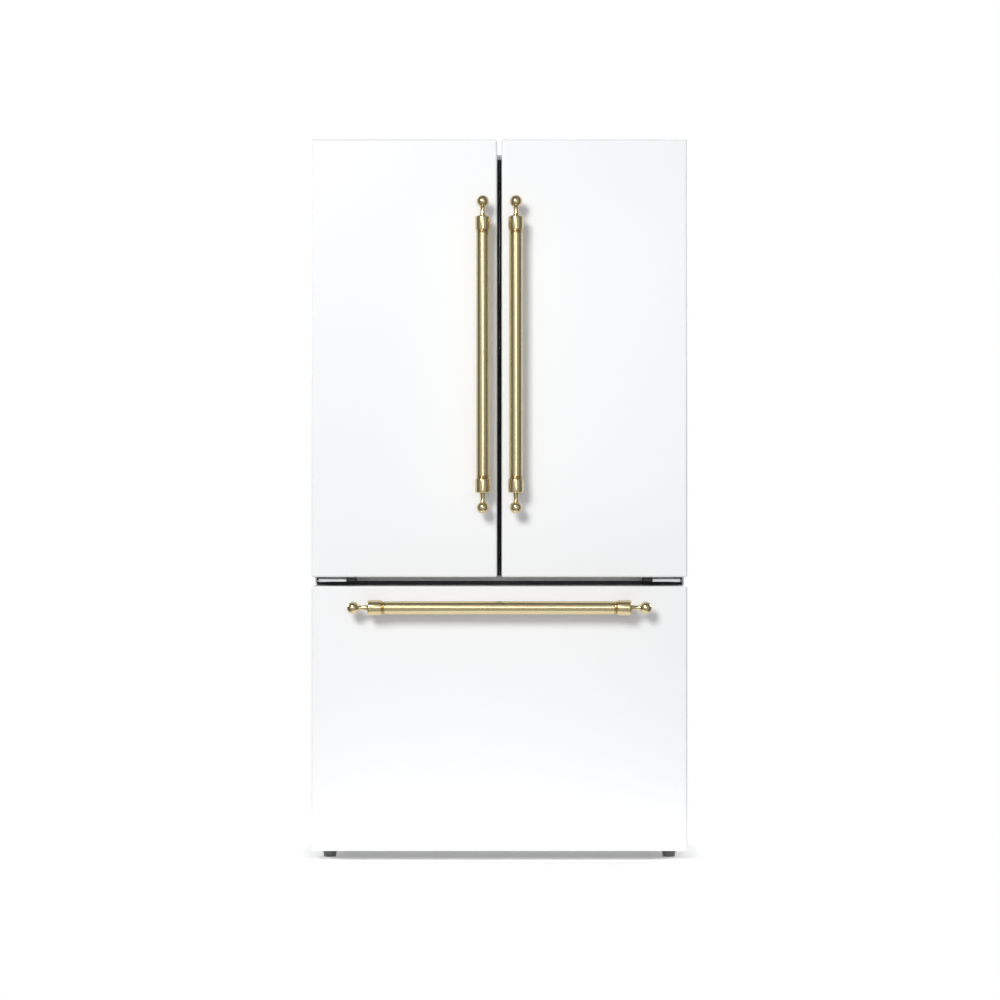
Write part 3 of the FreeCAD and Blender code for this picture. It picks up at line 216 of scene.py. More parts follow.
def pebbled_enamel(colours):
    """The same enamel on embossed steel, as on the sides of a cabinet."""
    # Leather-like pebbles scatter the light; real ones are 1 mm across and are drawn at 2.5 mm.
    return patterned("pebbled_enamel", {"Base_Color": colours.case_enamel, "IOR": 1.5},
                     "ShaderNodeTexVoronoi", {"Scale": 1 / (2.5 * MM), "feature": "SMOOTH_F1"}, "Distance",
                     gloss=(0.38, 0.5), relief=(0.05, 0.5))


def polished_brass(colours):
    """Brass turned on a lathe, polished and lacquered."""
    # Warm mirror with a soft edge: fine polishing haze, drawn 6 mm across, under clear lacquer.
    return mottled("polished_brass", colours.brass, (0.17, 0.23), 6.0, 0.003, detail=4.0,
                   Metallic=1.0, Coat_Weight=0.6, Coat_Roughness=0.1)


def formed_polystyrene(colours):
    """High-impact polystyrene sheet, vacuum formed."""
    # Soft even gloss with the slow waves that the heated sheet keeps, about 30 mm long.
    return mottled("formed_polystyrene", colours.lining, (0.28, 0.36), 30.0, 0.05, detail=2.0, IOR=1.59)


def moulded_abs(colours):
    """White ABS, injection moulded in a spark-eroded tool."""
    # Fine matt texture, 0.3 mm in the tool and drawn at 1.2 mm.
    return mottled("moulded_abs", colours.moulding, (0.4, 0.5), 1.2, 0.01, IOR=1.54)


def clear_polystyrene(colours):
    """Clear general-purpose polystyrene, injection moulded."""
    # Glass-clear with faint flow lines that run away from the gate, about 40 mm apart.
    return mottled("clear_polystyrene", colours.clear, (0.04, 0.1), 40.0, 0.02, stretch=(1.0, 0.3, 1.0),
                   detail=1.0, IOR=1.59, Transmission_Weight=0.86)


def toughened_glass(colours):
    """Float glass, heat toughened."""
    # Clear and green at its ground edges; the rollers leave waves about 60 mm long.
    return mottled("toughened_glass", colours.glass, (0.02, 0.05), 60.0, 0.02, detail=1.0,
                   IOR=1.52, Transmission_Weight=0.95)


def extruded_vinyl(colours, name="extruded_vinyl", swatch="vinyl"):
    """Soft PVC, extruded as a hollow seal round a magnetic strip or as a lip."""
    # Dull skin with fine draw lines along the run, 0.4 mm apart and drawn at 1.5 mm.
    return mottled(name, getattr(colours, swatch), (0.5, 0.62), 1.5, 0.03, stretch=(0.2, 1.0, 0.2),
                   IOR=1.53, Sheen_Weight=0.15)


def plated_zinc(colours):
    """Pressed steel with bright zinc plating."""
    # Cool dull metal, clouded in patches of 12 mm where the passivation is thicker.
    shade = 0.78
    dark = [v * shade for v in colours.zinc[:3]] + [1.0]
    return patterned("plated_zinc", {"Metallic": 1.0}, "ShaderNodeTexNoise",
                     {"Scale": 1 / (12 * MM), "Detail": 4.0}, "Fac", gloss=(0.28, 0.46),
                     tint=(dark, colours.zinc))


def stove_enamel(colours):
    """Black stove enamel on deep-drawn steel."""
    # Half-gloss black with slight runs about 15 mm apart.
    return mottled("stove_enamel", colours.black_steel, (0.32, 0.48), 15.0, 0.05, stretch=(1.0, 1.0, 0.4),
                   IOR=1.5)


def filled_nylon(colours, name="filled_nylon", swatch="black_nylon"):
    """Glass-filled nylon, injection moulded."""
    # Matt, with glass fibres that just break the skin, drawn at 1 mm.
    return mottled(name, getattr(colours, swatch), (0.45, 0.6), 1.0, 0.02, IOR=1.53)


def coil_coating(colours):
    """Grey polyester coil coating on galvanised steel."""
    # Even low gloss with rolling marks up the sheet, about 5 mm wide.
    return mottled("coil_coating", colours.back_paint, (0.42, 0.52), 5.0, 0.01, stretch=(1.0, 1.0, 0.05),
                   IOR=1.5)


def rolled_aluminium():
    """Aluminium fin stock and tube, mill finish."""
    # Bright and streaked along the rolling direction every 3 mm.
    return mottled("rolled_aluminium", linear("#D4D7D9"), (0.25, 0.4), 3.0, 0.005,
                   stretch=(0.1, 1.0, 1.0), Metallic=1.0)


def drawn_copper(colours):
    """Soft copper tube, drawn and brazed."""
    # Warm metal, dulled in patches of 20 mm by the brazing heat.
    return mottled("drawn_copper", colours.copper, (0.22, 0.42), 20.0, 0.005, Metallic=1.0)


def frosted_polycarbonate():
    """Diffuser of opal polycarbonate over the lamps."""
    # Milky and softly lit from inside, with broad moulded ribs 15.8 mm apart across the strip.
    values = {"Base_Color": linear("#F7F9FA"), "IOR": 1.58, "Roughness": 0.42, "Transmission_Weight": 0.35,
              "Emission_Color": linear("#F4F8FF"), "Emission_Strength": 6.0}
    rib_pitch = 15.7914 * MM
    waves = 20 / math.tau
    return patterned("frosted_polycarbonate", values, "ShaderNodeTexWave",
                     {"Scale": 1 / (rib_pitch * waves), "bands_direction": "X", "wave_profile": "SIN"}, "Fac",
                     relief=(0.4, 0.6))


def black_acrylic():
    """Cast acrylic front of the touch panel, printed black on its back."""
    # Deep gloss; only a faint haze from wiping, in arcs about 25 mm long.
    return mottled("black_acrylic", linear("#0B0B0D"), (0.05, 0.14), 25.0, 0.002, detail=5.0,
                   IOR=1.49, Coat_Weight=0.6, Coat_Roughness=0.04)


def key_print():
    """White ink of the touch marks."""
    # Flat ink, screen printed, with a mesh grain of 0.2 mm drawn at 1 mm.
    return mottled("key_print", linear("#DDE3E8"), (0.5, 0.6), 1.0, 0.005, IOR=1.5)


def poured_foam():
    """Rigid polyurethane foam, poured between the walls."""
    # Pale yellow, dull and open-celled where cut; cells of 0.5 mm are drawn at 3 mm.
    return patterned("poured_foam", {"Roughness": 0.9, "IOR": 1.45}, "ShaderNodeTexVoronoi",
                     {"Scale": 1 / (3 * MM)}, "Distance", relief=(0.5, 1.0),
                     tint=(linear("#C9B683"), linear("#EADFB6")))


MAKERS = {
    "white_enamel": baked_enamel, "case_enamel": pebbled_enamel, "polished_brass": polished_brass,
    "white_liner": formed_polystyrene, "white_mouldings": moulded_abs, "clear_mouldings": clear_polystyrene,
    "toughened_glass": toughened_glass, "gasket_vinyl": extruded_vinyl, "zinc_steel": plated_zinc,
    "black_steel": stove_enamel, "black_nylon": filled_nylon, "grey_panel": coil_coating,
    "copper": drawn_copper,
    "black_vinyl": lambda colours: extruded_vinyl(colours, "black_vinyl", "black_nylon"),
    "grey_nylon": lambda colours: filled_nylon(colours, "grey_polyamide", "grey_nylon"),
    "coil_aluminium": lambda colours: rolled_aluminium(),
    "lamp_cover": lambda colours: frosted_polycarbonate(),
    "panel_black": lambda colours: black_acrylic(),
    "key_print": lambda colours: key_print(),
    "insulating_foam": lambda colours: poured_foam(),
}
made_materials = {}


def finish_for(slot):
    """The material of a slot, made on first use."""
    if slot not in made_materials:
        made_materials[slot] = MAKERS[slot](bpy.context.scene.refrigerator_colours)
    return made_materials[slot]


# ---- Frame pieces
def dress(node, edge_mm=0.0, slot=None):
    """Give a frame piece its material, and small rounded edges where it needs them."""
    piece = NODES[node]
    piece.data.materials.clear()
    piece.data.materials.append(finish_for(slot or SLOT_OF[node]))
    if edge_mm:
        weld = piece.modifiers.new("join corners", "WELD")
        weld.merge_threshold = 0.005 * MM
        round_edges(piece, edge_mm)
    return piece


def round_edges(piece, edge_mm, segments=2):
    """Round the sharp edges of a piece by a modifier."""
    bevel = piece.modifiers.new("rounded edges", "BEVEL")
    bevel.width = edge_mm * MM
    bevel.segments = segments
    bevel.limit_method = "ANGLE"
    bevel.angle_limit = math.radians(50)
    bevel.harden_normals = True


def paint_where(node, slot, test):
    """Give the faces of a frame piece that pass a test a second material."""
    piece = NODES[node]
    piece.data.materials.append(finish_for(slot))
    place = len(piece.data.materials) - 1
    for face in piece.data.polygons:
        if test(face):
            face.material_index = place


# ---- New pieces
def build(name, mesh_data, slot, body, replaced=(), sharp_angle=35.0):
    """Make one piece from (points, faces), finish it and let it ride on a body."""
    points, faces = mesh_data
    mesh = bpy.data.meshes.new(name)
    mesh.from_pydata([tuple(p) for p in points], [], faces)
    mesh.validate()
    mesh.shade_smooth()
    mesh.set_sharp_from_angle(angle=math.radians(sharp_angle))
    mesh.materials.append(finish_for(slot))
    piece = bpy.data.objects.new(name, mesh)
    bpy.context.scene.collection.objects.link(piece)
    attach(piece, body)
    if replaced:
        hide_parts(*replaced)
    return piece


def joined(parts):
    """Several (points, faces) pairs as one."""
    points, faces = [], []
    for part_points, part_faces in parts:
        start = len(points)
        points += part_points
        faces += [tuple(start + i for i in face) for face in part_faces]
    return points, faces


def skin_faces(rows, segments):
    """Faces over rows of points that each run round once, with the first and last row closed."""
    faces = []
    for row in range(rows - 1):
        for k in range(segments):
            a, b = row * segments + k, row * segments + (k + 1) % segments
            faces.append((a, b, b + segments, a + segments))
    last = (rows - 1) * segments
    return faces + [tuple(reversed(range(segments))), tuple(range(last, last + segments))]


def lathe(profile, origin, axis, segments=64):
    """Turn (distance along, radius) points about an axis through origin. Closed at both ends."""
    turn = Vector((0, 0, 1)).rotation_difference(Vector(axis)).to_matrix()
    points = []
    for along, radius in profile:
        for k in range(segments):
            angle = math.tau * k / segments
            spot = Vector((radius * math.cos(angle), radius * math.sin(angle), along))
            points.append(Vector(origin) + turn @ spot)
    return points, skin_faces(len(profile), segments)


def arc_points(centre, radius, start, end, steps):
    """(along, radius) points of an arc in a lathe profile; angles in degrees from the axis."""
    found = []
    for i in range(steps + 1):
        angle = math.radians(start + (end - start) * i / steps)
        found.append((centre[0] + radius * math.cos(angle), centre[1] + radius * math.sin(angle)))
    return found


def block(low, high):
    """An upright block between two corners."""
    xs, ys, zs = zip(low, high)
    points = [Vector((x, y, z)) for z in zs for y in ys for x in xs]
    faces = [(0, 2, 3, 1), (4, 5, 7, 6), (0, 1, 5, 4), (2, 6, 7, 3), (0, 4, 6, 2), (1, 3, 7, 5)]
    return points, faces


def smooth_route(corners, radius, steps=6):
    """Points of a path whose corners are arcs of one radius."""
    straight, share = 0.02, 0.49
    corners = [Vector(c) for c in corners]
    route = [corners[0]]
    for before, corner, after in zip(corners, corners[1:], corners[2:]):
        into, out = (corner - before).normalized(), (after - corner).normalized()
        turn = into.angle(out)
        if turn < straight:
            continue
        nearest = min((corner - before).length, (after - corner).length)
        reach = min(radius * math.tan(turn / 2), nearest * share)
        first, last = corner - into * reach, corner + out * reach
        for i in range(steps + 1):
            t = i / steps
            route.append(first * (1 - t) ** 2 + corner * 2 * t * (1 - t) + last * t ** 2)
    route.append(corners[-1])
    return route


def tube(route, radius, segments=12):
    """A round tube along a route of points, closed at both ends."""
    points = []
    side = None
    for i, spot in enumerate(route):
        ahead = (route[min(i + 1, len(route) - 1)] - route[max(i - 1, 0)]).normalized()
        side = ahead.orthogonal() if side is None else side - ahead * side.dot(ahead)
        side.normalize()
        up = ahead.cross(side)
        for k in range(segments):
            angle = math.tau * k / segments
            points.append(spot + (side * math.cos(angle) + up * math.sin(angle)) * radius)
    return points, skin_faces(len(route), segments)


# ---- Handles
def end_profile(sizes):
    """Profile of a handle's end from the bar outwards: beads, ferrule, collar, waist and ball."""
    bar, ferrule, ball = sizes.bar_radius, sizes.ferrule_radius, sizes.ball_radius
    waist = sizes.neck_radius
    beads, groove_depth, bead_rise = 2, 2.2 * MM, 0.5 * MM
    pitch = sizes.bead_length / beads
    groove, half_bead = pitch / 2, pitch / 4
    profile = [(0.0, bar - 0.5 * MM)]
    for i in range(beads):
        start = pitch * i
        profile += [(start + 0.05 * MM, bar), (start + groove / 2, bar - groove_depth), (start + groove, bar)]
        profile += arc_points((start + groove + half_bead, bar + bead_rise), half_bead, 180, 0, 8)
    ferrule_start = sizes.bead_length
    ferrule_end = ferrule_start + sizes.ferrule_length
    lip, shoulder = 1.2 * MM, 4.0 * MM
    profile += [(ferrule_start, bar - 0.2 * MM), (ferrule_start + 0.1 * MM, ferrule - lip)]
    profile += arc_points((ferrule_start + 1.3 * MM, ferrule - lip), lip, 180, 90, 5)
    profile += arc_points((ferrule_end - shoulder, ferrule - shoulder), shoulder, 90, 8, 9)
    collar, collar_round = waist + 2.8 * MM, 1.3 * MM
    collar_end = ferrule_end + 3.2 * MM
    profile += [(ferrule_end, collar + 1.4 * MM), (ferrule_end + 0.3 * MM, collar)]
    profile += arc_points((ferrule_end + 1.6 * MM, collar - collar_round), collar_round, 180, 0, 6)[1:]
    waist_length, flare = 20.0 * MM, 1.6 * MM
    centre = ferrule_end + waist_length + ball
    reach = centre - math.sqrt(ball ** 2 - (waist + flare) ** 2) - collar_end
    steps = 8
    for i in range(steps + 1):
        t = i / steps
        radius = waist + (collar - 0.6 * MM - waist) * (1 - t) ** 2 + flare * t ** 3
        profile.append((collar_end + reach * t, radius))
    touch = math.degrees(math.asin((waist + flare) / ball))
    profile += arc_points((centre, 0.0), ball, 180 - touch, 2, 26)
    return profile


def handle_parts(sizes, bar_node, mount_node, along):
    """Bar and mounts of one handle; along is the bar's own direction."""
    way = Vector(along)
    axis = 0 if way.x else 2
    bar_low, bar_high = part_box(bar_node)
    middle = (bar_low + bar_high) / 2
    half = (bar_high[axis] - bar_low[axis]) / 2
    door_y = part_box(mount_node)[1].y
    bar = lathe([(-half, sizes.bar_radius), (half, sizes.bar_radius)], middle, way, 96)
    rose, cove, edge = 4.0 * MM, 3.0 * MM, 1.0 * MM
    parts = []
    for side in (-1, 1):
        base = middle + way * half * side
        parts.append(lathe(end_profile(sizes), base, way * side))
        foot = base + way * side * (sizes.bead_length + sizes.ferrule_length / 2)
        reach = door_y - foot.y
        post = [(0.0, sizes.post_radius - edge), (reach - rose - 2 * cove, sizes.post_radius)]
        post += arc_points((reach - rose - cove, sizes.post_radius + cove), cove, 225, 270, 5)
        post += [(reach - rose, sizes.rose_radius - edge)]
        post += arc_points((reach - rose + edge, sizes.rose_radius - edge), edge, 180, 90, 4)[1:]
        post += [(reach, sizes.rose_radius)]
        parts.append(lathe(post, foot, (0, 1, 0), 48))
    return bar, joined(parts)


HANDLES = (("left_handle", "left_door", (0, 0, 1)), ("right_handle", "right_door", (0, 0, 1)),
           ("drawer_handle", "freezer_drawer", (1, 0, 0)))


class REFRIGERATOR_OT_handles(bpy.types.Operator):
    """Turn the brass bars with their beaded ferrules, ball ends and stand-off posts"""
    bl_idname = "refrigerator.handles"
    bl_label = "Brass Handles"

    def execute(self, context):
        sizes = context.scene.refrigerator_handles
        for name, body, along in HANDLES:
            bar, mounts = handle_parts(sizes, name + "_bar", name + "_mounts", along)
            build(name + "_turned_bar", bar, "polished_brass", body, [name + "_bar"])
            build(name + "_turned_ends", mounts, "polished_brass", body, [name + "_mounts"])
        return {"FINISHED"}


# ---- Seals
# (out from the middle line, away from the door) in mm, one side; the other side mirrors it.
SEAL_SIDE = [
    (6.5, 0.0), (6.5, 1.3), (5.8, 1.8), (3.6, 2.2), (4.5, 3.4), (4.7, 4.3), (3.5, 5.6), (3.4, 6.2),
    (4.6, 7.3), (5.9, 7.7), (6.4, 8.4), (6.5, 10.4), (6.1, 11.3), (5.2, 11.7), (1.2, 11.7), (0.9, 11.4)]
SEAL_PROFILE = [(-6.5, 0.0)] + SEAL_SIDE + [(-u, v) for u, v in reversed(SEAL_SIDE[1:])]


def mitred_seal(node):
    """Bellows seal run round the rectangle of a node, mitred at its corners."""
    low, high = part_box(node)
    half = max(u for u, _ in SEAL_PROFILE) * MM
    scale = (high.y - low.y) / max(v for _, v in SEAL_PROFILE)
    centre = (low + high) / 2
    reach = ((high.x - low.x) / 2 - half, (high.z - low.z) / 2 - half)
    points, faces = [], []
    for sx, sz in ((-1, -1), (1, -1), (1, 1), (-1, 1)):
        for u, v in SEAL_PROFILE:
            points.append(Vector((centre.x + sx * (reach[0] + u * MM), low.y + v * scale,
                                  centre.z + sz * (reach[1] + u * MM))))
    count = len(SEAL_PROFILE)
    for corner in range(4):
        after = (corner + 1) % 4
        for i in range(count):
            j = (i + 1) % count
            faces.append((corner * count + i, corner * count + j, after * count + j, after * count + i))
    return points, faces


class REFRIGERATOR_OT_seals(bpy.types.Operator):
    """Extrude the magnetic bellows seals and mitre them round each front"""
    bl_idname = "refrigerator.seals"
    bl_label = "Magnetic Seals"

    def execute(self, context):
        for node in ("left_door_gasket", "right_door_gasket", "drawer_gasket"):
            build(node.replace("gasket", "bellows_seal"), mitred_seal(node), "gasket_vinyl", BODY_OF[node],
                  [node], sharp_angle=50.0)
        return {"FINISHED"}


# ---- Fronts, cabinet and lining
def inner_foam_face():
    """How far from the middle the foam of the side walls starts, with a little to spare."""
    reach = abs(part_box("compressor")[0].x)
    walls = [abs(corner.co.x) for corner in NODES["insulation_foam"].data.vertices]
    return min(x for x in walls if x > reach) + 1.0 * MM


class REFRIGERATOR_OT_fronts(bpy.types.Operator):
    """Enamel the door and drawer pans and finish their lining and foam"""
    bl_idname = "refrigerator.fronts"
    bl_label = "Door and Drawer Fronts"

    def execute(self, context):
        for front in ("left_door", "right_door", "drawer"):
            for layer in ("skin", "liner", "foam"):
                dress(f"{front}_{layer}")
        dress("mullion_flap", 0.8)
        return {"FINISHED"}


class REFRIGERATOR_OT_cabinet(bpy.types.Operator):
    """Finish the wrapper, its foam, both linings and the back"""
    bl_idname = "refrigerator.cabinet"
    bl_label = "Cabinet"

    def execute(self, context):
        for node in ("cabinet_wrapper", "insulation_foam", "fridge_liner", "freezer_liner", "back_panel",
                     "machine_cover"):
            dress(node)
        # Thin steel closes the foam at the back, below, and inside the machine compartment.
        inner = inner_foam_face()
        paint_where("insulation_foam", "grey_panel", lambda face: face.normal.y > 0.9 or face.normal.z < -0.9
                    or (abs(face.center.x) < inner and abs(face.normal.x) > 0.9))
        return {"FINISHED"}


class REFRIGERATOR_OT_divider_trim(bpy.types.Operator):
    """Fit the black strip and hinge blocks in the gap between doors and drawer; their black is partly a real
    trim and partly painted shade of the deep gap
    """
    bl_idname = "refrigerator.divider_trim"
    bl_label = "Divider Trim"

    def execute(self, context):
        case_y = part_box("cabinet_wrapper")[0].y
        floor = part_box("drawer_skin")[1].z + 1.0 * MM
        strip_half = nearest_to_middle("middle_hinges") - 1.0 * MM
        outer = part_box("middle_hinges")[1].x
        strip_front, strip_height = case_y - 3.0 * MM, 9.5 * MM
        block_back, block_depth, block_height = case_y - 3.3 * MM, 4 * MM, 9.0 * MM
        # Black nylon trim: partly a real strip, partly painted shade that stands in for the dark deep in the
        # gap.
        parts = [block((-strip_half, strip_front, floor),
                       (strip_half, case_y - 0.1 * MM, floor + strip_height))]
        for x0, x1 in ((-outer, -strip_half), (strip_half, outer)):
            parts.append(block((x0, block_back - block_depth, floor), (x1, block_back, floor + block_height)))
        trim = build("divider_trim", joined(parts), "black_nylon", "cabinet")
        round_edges(trim, 0.8, 3)
        return {"FINISHED"}


class REFRIGERATOR_OT_middle_hinge_caps(bpy.types.Operator):
    """Clip a white cap over each middle hinge arm; its white is partly a real moulding and partly a painted
    highlight where light catches the hinge plate
    """
    bl_idname = "refrigerator.middle_hinge_caps"
    bl_label = "Middle Hinge Caps"

    def execute(self, context):
        low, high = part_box("middle_hinges")
        inner_end, outer_end = high.x - 76.0 * MM, high.x - 8.0 * MM
        front, back = low.y - 1.5 * MM, high.y - 3.5 * MM
        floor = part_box("drawer_skin")[1].z + 10.3 * MM
        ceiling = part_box("right_door_skin")[0].z - 3.8 * MM
        # White caps: partly a real moulding, partly a painted highlight standing in for the lit hinge plate.
        caps = [block((x0, front, floor), (x1, back, ceiling))
                for x0, x1 in ((-outer_end, -inner_end), (inner_end, outer_end))]
        round_edges(build("middle_hinge_caps", joined(caps), "white_mouldings", "cabinet"), 1.2, 3)
        return {"FINISHED"}


class REFRIGERATOR_OT_centre_lips(bpy.types.Operator):
    """Fit the soft black lip on each door that closes the gap between them; their black is partly real vinyl
    and partly painted shade of the gap
    """
    bl_idname = "refrigerator.centre_lips"
    bl_label = "Centre Lips"

    def execute(self, context):
        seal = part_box("right_door_gasket")[0]
        reach = (0.3 * MM, seal.x + 0.3 * MM)
        front, back = seal.y + 2.0 * MM, seal.y + 3.2 * MM
        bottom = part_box("right_door_skin")[0].z + 2.0 * MM
        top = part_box("cabinet_wrapper")[1].z - 13.0 * MM
        for name, side in (("left_door", -1), ("right_door", 1)):
            xs = sorted(side * x for x in reach)
            # Black vinyl lips: partly a real seal lip, partly painted shade that keeps the gap between the
            # doors dark.
            lip = block((xs[0], front, bottom), (xs[1], back, top))
            piece = build(name + "_centre_lip", lip, "black_vinyl", name)
            round_edges(piece, 0.4, 3)
        return {"FINISHED"}


class REFRIGERATOR_OT_hinges(bpy.types.Operator):
    """Finish the hinges, their caps and the door bushes"""
    bl_idname = "refrigerator.hinges"
    bl_label = "Hinges"

    def execute(self, context):
        dress("top_hinges", 0.4)
        dress("middle_hinges", 0.3)
        dress("hinge_covers", slot="white_mouldings")
        dress("left_door_bushes", 0.3)
        dress("right_door_bushes", 0.3)
        return {"FINISHED"}


class REFRIGERATOR_OT_fittings(bpy.types.Operator):
    """Finish the shelves, drawers, bins and ducts of both compartments"""
    bl_idname = "refrigerator.fittings"
    bl_label = "Inner Fittings"

    def execute(self, context):
        dress("shelf_frames", 0.5)
        dress("shelf_glass", 0.4)
        dress("shelf_supports", 0.3)
        for node in ("left_crisper", "right_crisper", "deli_drawer", "left_door_bins", "right_door_bins",
                     "drawer_basket", "drawer_tray", "air_duct_panels"):
            dress(node)
        for node in ("left_humidity_slider", "right_humidity_slider", "dairy_lid", "slide_outer_members",
                     "slide_middle_members", "slide_inner_members"):
            dress(node, 0.3)
        return {"FINISHED"}


class REFRIGERATOR_OT_lamps_and_controls(bpy.types.Operator):
    """Finish the lamp covers and the touch panel with its printed marks"""
    bl_idname = "refrigerator.lamps_and_controls"
    bl_label = "Lamps and Controls"

    def execute(self, context):
        dress("light_covers", 0.6)
        dress("control_panel")
        low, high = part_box("control_panel")
        centre = (low + high) / 2
        key_y, key_z = centre.y + 8 * MM, low.z - 0.25 * MM
        marks = [Vector((centre.x + x * MM, key_y, key_z)) for x in (-70, -35, 0, 35, 70)]
        ink, outer, inner = 0.3 * MM, 7.0 * MM, 6.0 * MM
        ring = [(0.0, outer), (ink, outer), (ink, inner), (0.0, inner), (0.0, outer)]
        parts = []
        for mark in marks:
            points, faces = lathe(ring, mark, (0, 0, 1), 40)
            parts.append((points, faces[:-2]))
        # A minus on the first key and a plus on the last.
        long, short = 3 * MM, 0.5 * MM
        strokes = ((marks[0], long, short), (marks[-1], long, short), (marks[-1], short, long))
        for mark, half_x, half_y in strokes:
            parts.append(block(mark - Vector((half_x, half_y, 0)), mark + Vector((half_x, half_y, ink))))
        build("touch_marks", joined(parts), "key_print", "cabinet")
        return {"FINISHED"}


# ---- Cooling circuit, electrics and base
class REFRIGERATOR_OT_cooling(bpy.types.Operator):
    """Finish the coils, fans and compressor, and braze the copper pipes between them"""
    bl_idname = "refrigerator.cooling"
    bl_label = "Cooling Circuit"

    def execute(self, context):
        for node in ("evaporator", "fan_housings", "evaporator_fan", "condenser_fan", "compressor",
                     "condenser", "drain_pan", "rear_electrics"):
            dress(node)
        shell_low, shell_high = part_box("compressor")
        shell = (shell_low + shell_high) / 2
        coil_low, coil_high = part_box("condenser")
        roof, back_y = coil_high.z + 27 * MM, coil_high.y + 14 * MM
        coil_x, coil_z = coil_low.x - 14 * MM, coil_high.z - 30 * MM
        lid_x = shell.x - 20 * MM
        discharge_x, suction_x, suction_end = lid_x + 30 * MM, lid_x - 22 * MM, lid_x - 110 * MM
        suction_z = roof - 12 * MM
        service_y, service_z = shell.y - 30 * MM, shell_high.z + 26 * MM
        pipe_radius, drier_radius, bend = 3.0 * MM, 9 * MM, 14 * MM
        discharge = smooth_route([(discharge_x, shell.y, shell_high.z - 12 * MM),
                                  (discharge_x, shell.y, roof), (discharge_x, back_y, roof),
                                  (coil_x, back_y, roof), (coil_x, back_y, coil_z),
                                  (coil_low.x + 12 * MM, back_y, coil_z)], bend)
        suction = smooth_route([(suction_x, shell.y, shell_high.z - 10 * MM), (suction_x, shell.y, suction_z),
                                (suction_end, shell.y, suction_z),
                                (suction_end, shell.y - 60 * MM, suction_z)], bend)
        service = smooth_route([(lid_x, service_y, shell_high.z - 14 * MM), (lid_x, service_y, service_z),
                                (lid_x, shell.y - 62 * MM, service_z)], bend)
        drier = [(0.0, pipe_radius), (6 * MM, pipe_radius), (14 * MM, drier_radius), (74 * MM, drier_radius),
                 (82 * MM, pipe_radius), (88 * MM, pipe_radius)]
        parts = [tube(discharge, pipe_radius), tube(suction, 1.4 * pipe_radius), tube(service, pipe_radius),
                 lathe(drier, (lid_x + 60 * MM, back_y, roof), (1, 0, 0), 32)]
        build("refrigerant_pipes", joined(parts), "copper", "cabinet")
        return {"FINISHED"}


class REFRIGERATOR_OT_base(bpy.types.Operator):
    """Finish the base frame, feet and rollers"""
    bl_idname = "refrigerator.base"
    bl_label = "Base"

    def execute(self, context):
        dress("base_frame", 0.5)
        dress("levelling_feet")
        dress("rear_rollers", 0.3)
        foot_share = 0.36
        stem = size_of("levelling_feet").z * foot_share
        paint_where("levelling_feet", "zinc_steel", lambda face: face.center.z > stem)
        return {"FINISHED"}


def screw_head(spot, axis, radius=4.5 * MM, height=1.3 * MM):
    """A wafer-head screw with a round recess."""
    rim = [(0.0, radius), (height * 0.5, radius), (height * 0.9, radius * 0.8), (height, radius * 0.5)]
    recess = [(height, radius * 0.34), (height * 0.2, radius * 0.3)]
    return lathe(rim + recess, spot, axis, 24)


class REFRIGERATOR_OT_fasteners(bpy.types.Operator):
    """Drive the screws of the back panel and of the machine cover"""
    bl_idname = "refrigerator.fasteners"
    bl_label = "Back Screws"

    def execute(self, context):
        low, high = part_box("machine_cover")
        panel_low, panel_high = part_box("back_panel")
        edge, columns, rows = 12 * MM, 7, 7
        spots = []
        for i in range(columns):
            x = low.x + edge + (high.x - low.x - 2 * edge) * i / (columns - 1)
            spots += [(x, high.y, z) for z in (low.z + edge, high.z - edge * 0.8, panel_high.z - edge)]
        for i in range(1, rows):
            z = panel_low.z + (panel_high.z - panel_low.z) * i / rows
            spots += [(low.x + edge, high.y, z), (high.x - edge, high.y, z)]
        build("back_screws", joined([screw_head(spot, (0, 1, 0)) for spot in spots]), "zinc_steel", "cabinet")
        return {"FINISHED"}


# ---- Stage
def softbox(name, place, target, size, power):
    """A square area light that faces a target and isn't seen itself."""
    lamp = bpy.data.lights.new(name, "AREA")
    lamp.shape = "SQUARE"
    lamp.size = size
    lamp.energy = power
    holder = bpy.data.objects.new(name, lamp)
    bpy.context.scene.collection.objects.link(holder)
    holder.location = place
    holder.rotation_euler = (Vector(target) - Vector(place)).to_track_quat("-Z", "Y").to_euler()
    holder.visible_camera = False
    return holder


def light_room(scene, stage):
    """Surroundings that are bright behind the camera, dim elsewhere and white to the camera's eye."""
    world = bpy.data.worlds.new("studio")
    scene.world = world
    world.use_nodes = True
    tree = world.node_tree
    tree.nodes.clear()
    place = add_node(tree, "ShaderNodeTexCoord")
    parts = add_node(tree, "ShaderNodeSeparateXYZ", {}, {"Vector": place.outputs["Generated"]})
    front_starts, front_full = -0.5, -0.85
    glow = add_node(tree, "ShaderNodeMapRange",
                    {"From Min": front_starts, "From Max": front_full, "To Min": stage.room_glow,
                     "To Max": stage.front_glow, "interpolation_type": "SMOOTHSTEP"},
                    {"Value": parts.outputs["Y"]})
    lit = add_node(tree, "ShaderNodeBackground", {"Color": stage.sky}, {"Strength": glow.outputs["Result"]})
    seen = add_node(tree, "ShaderNodeBackground", {"Color": stage.backdrop, "Strength": 1.0})
    ray = add_node(tree, "ShaderNodeLightPath")
    both = add_node(tree, "ShaderNodeMixShader", {}, {0: ray.outputs["Is Camera Ray"], 1: lit.outputs[0],
                                                      2: seen.outputs[0]})
    add_node(tree, "ShaderNodeOutputWorld", {}, {"Surface": both.outputs[0]})


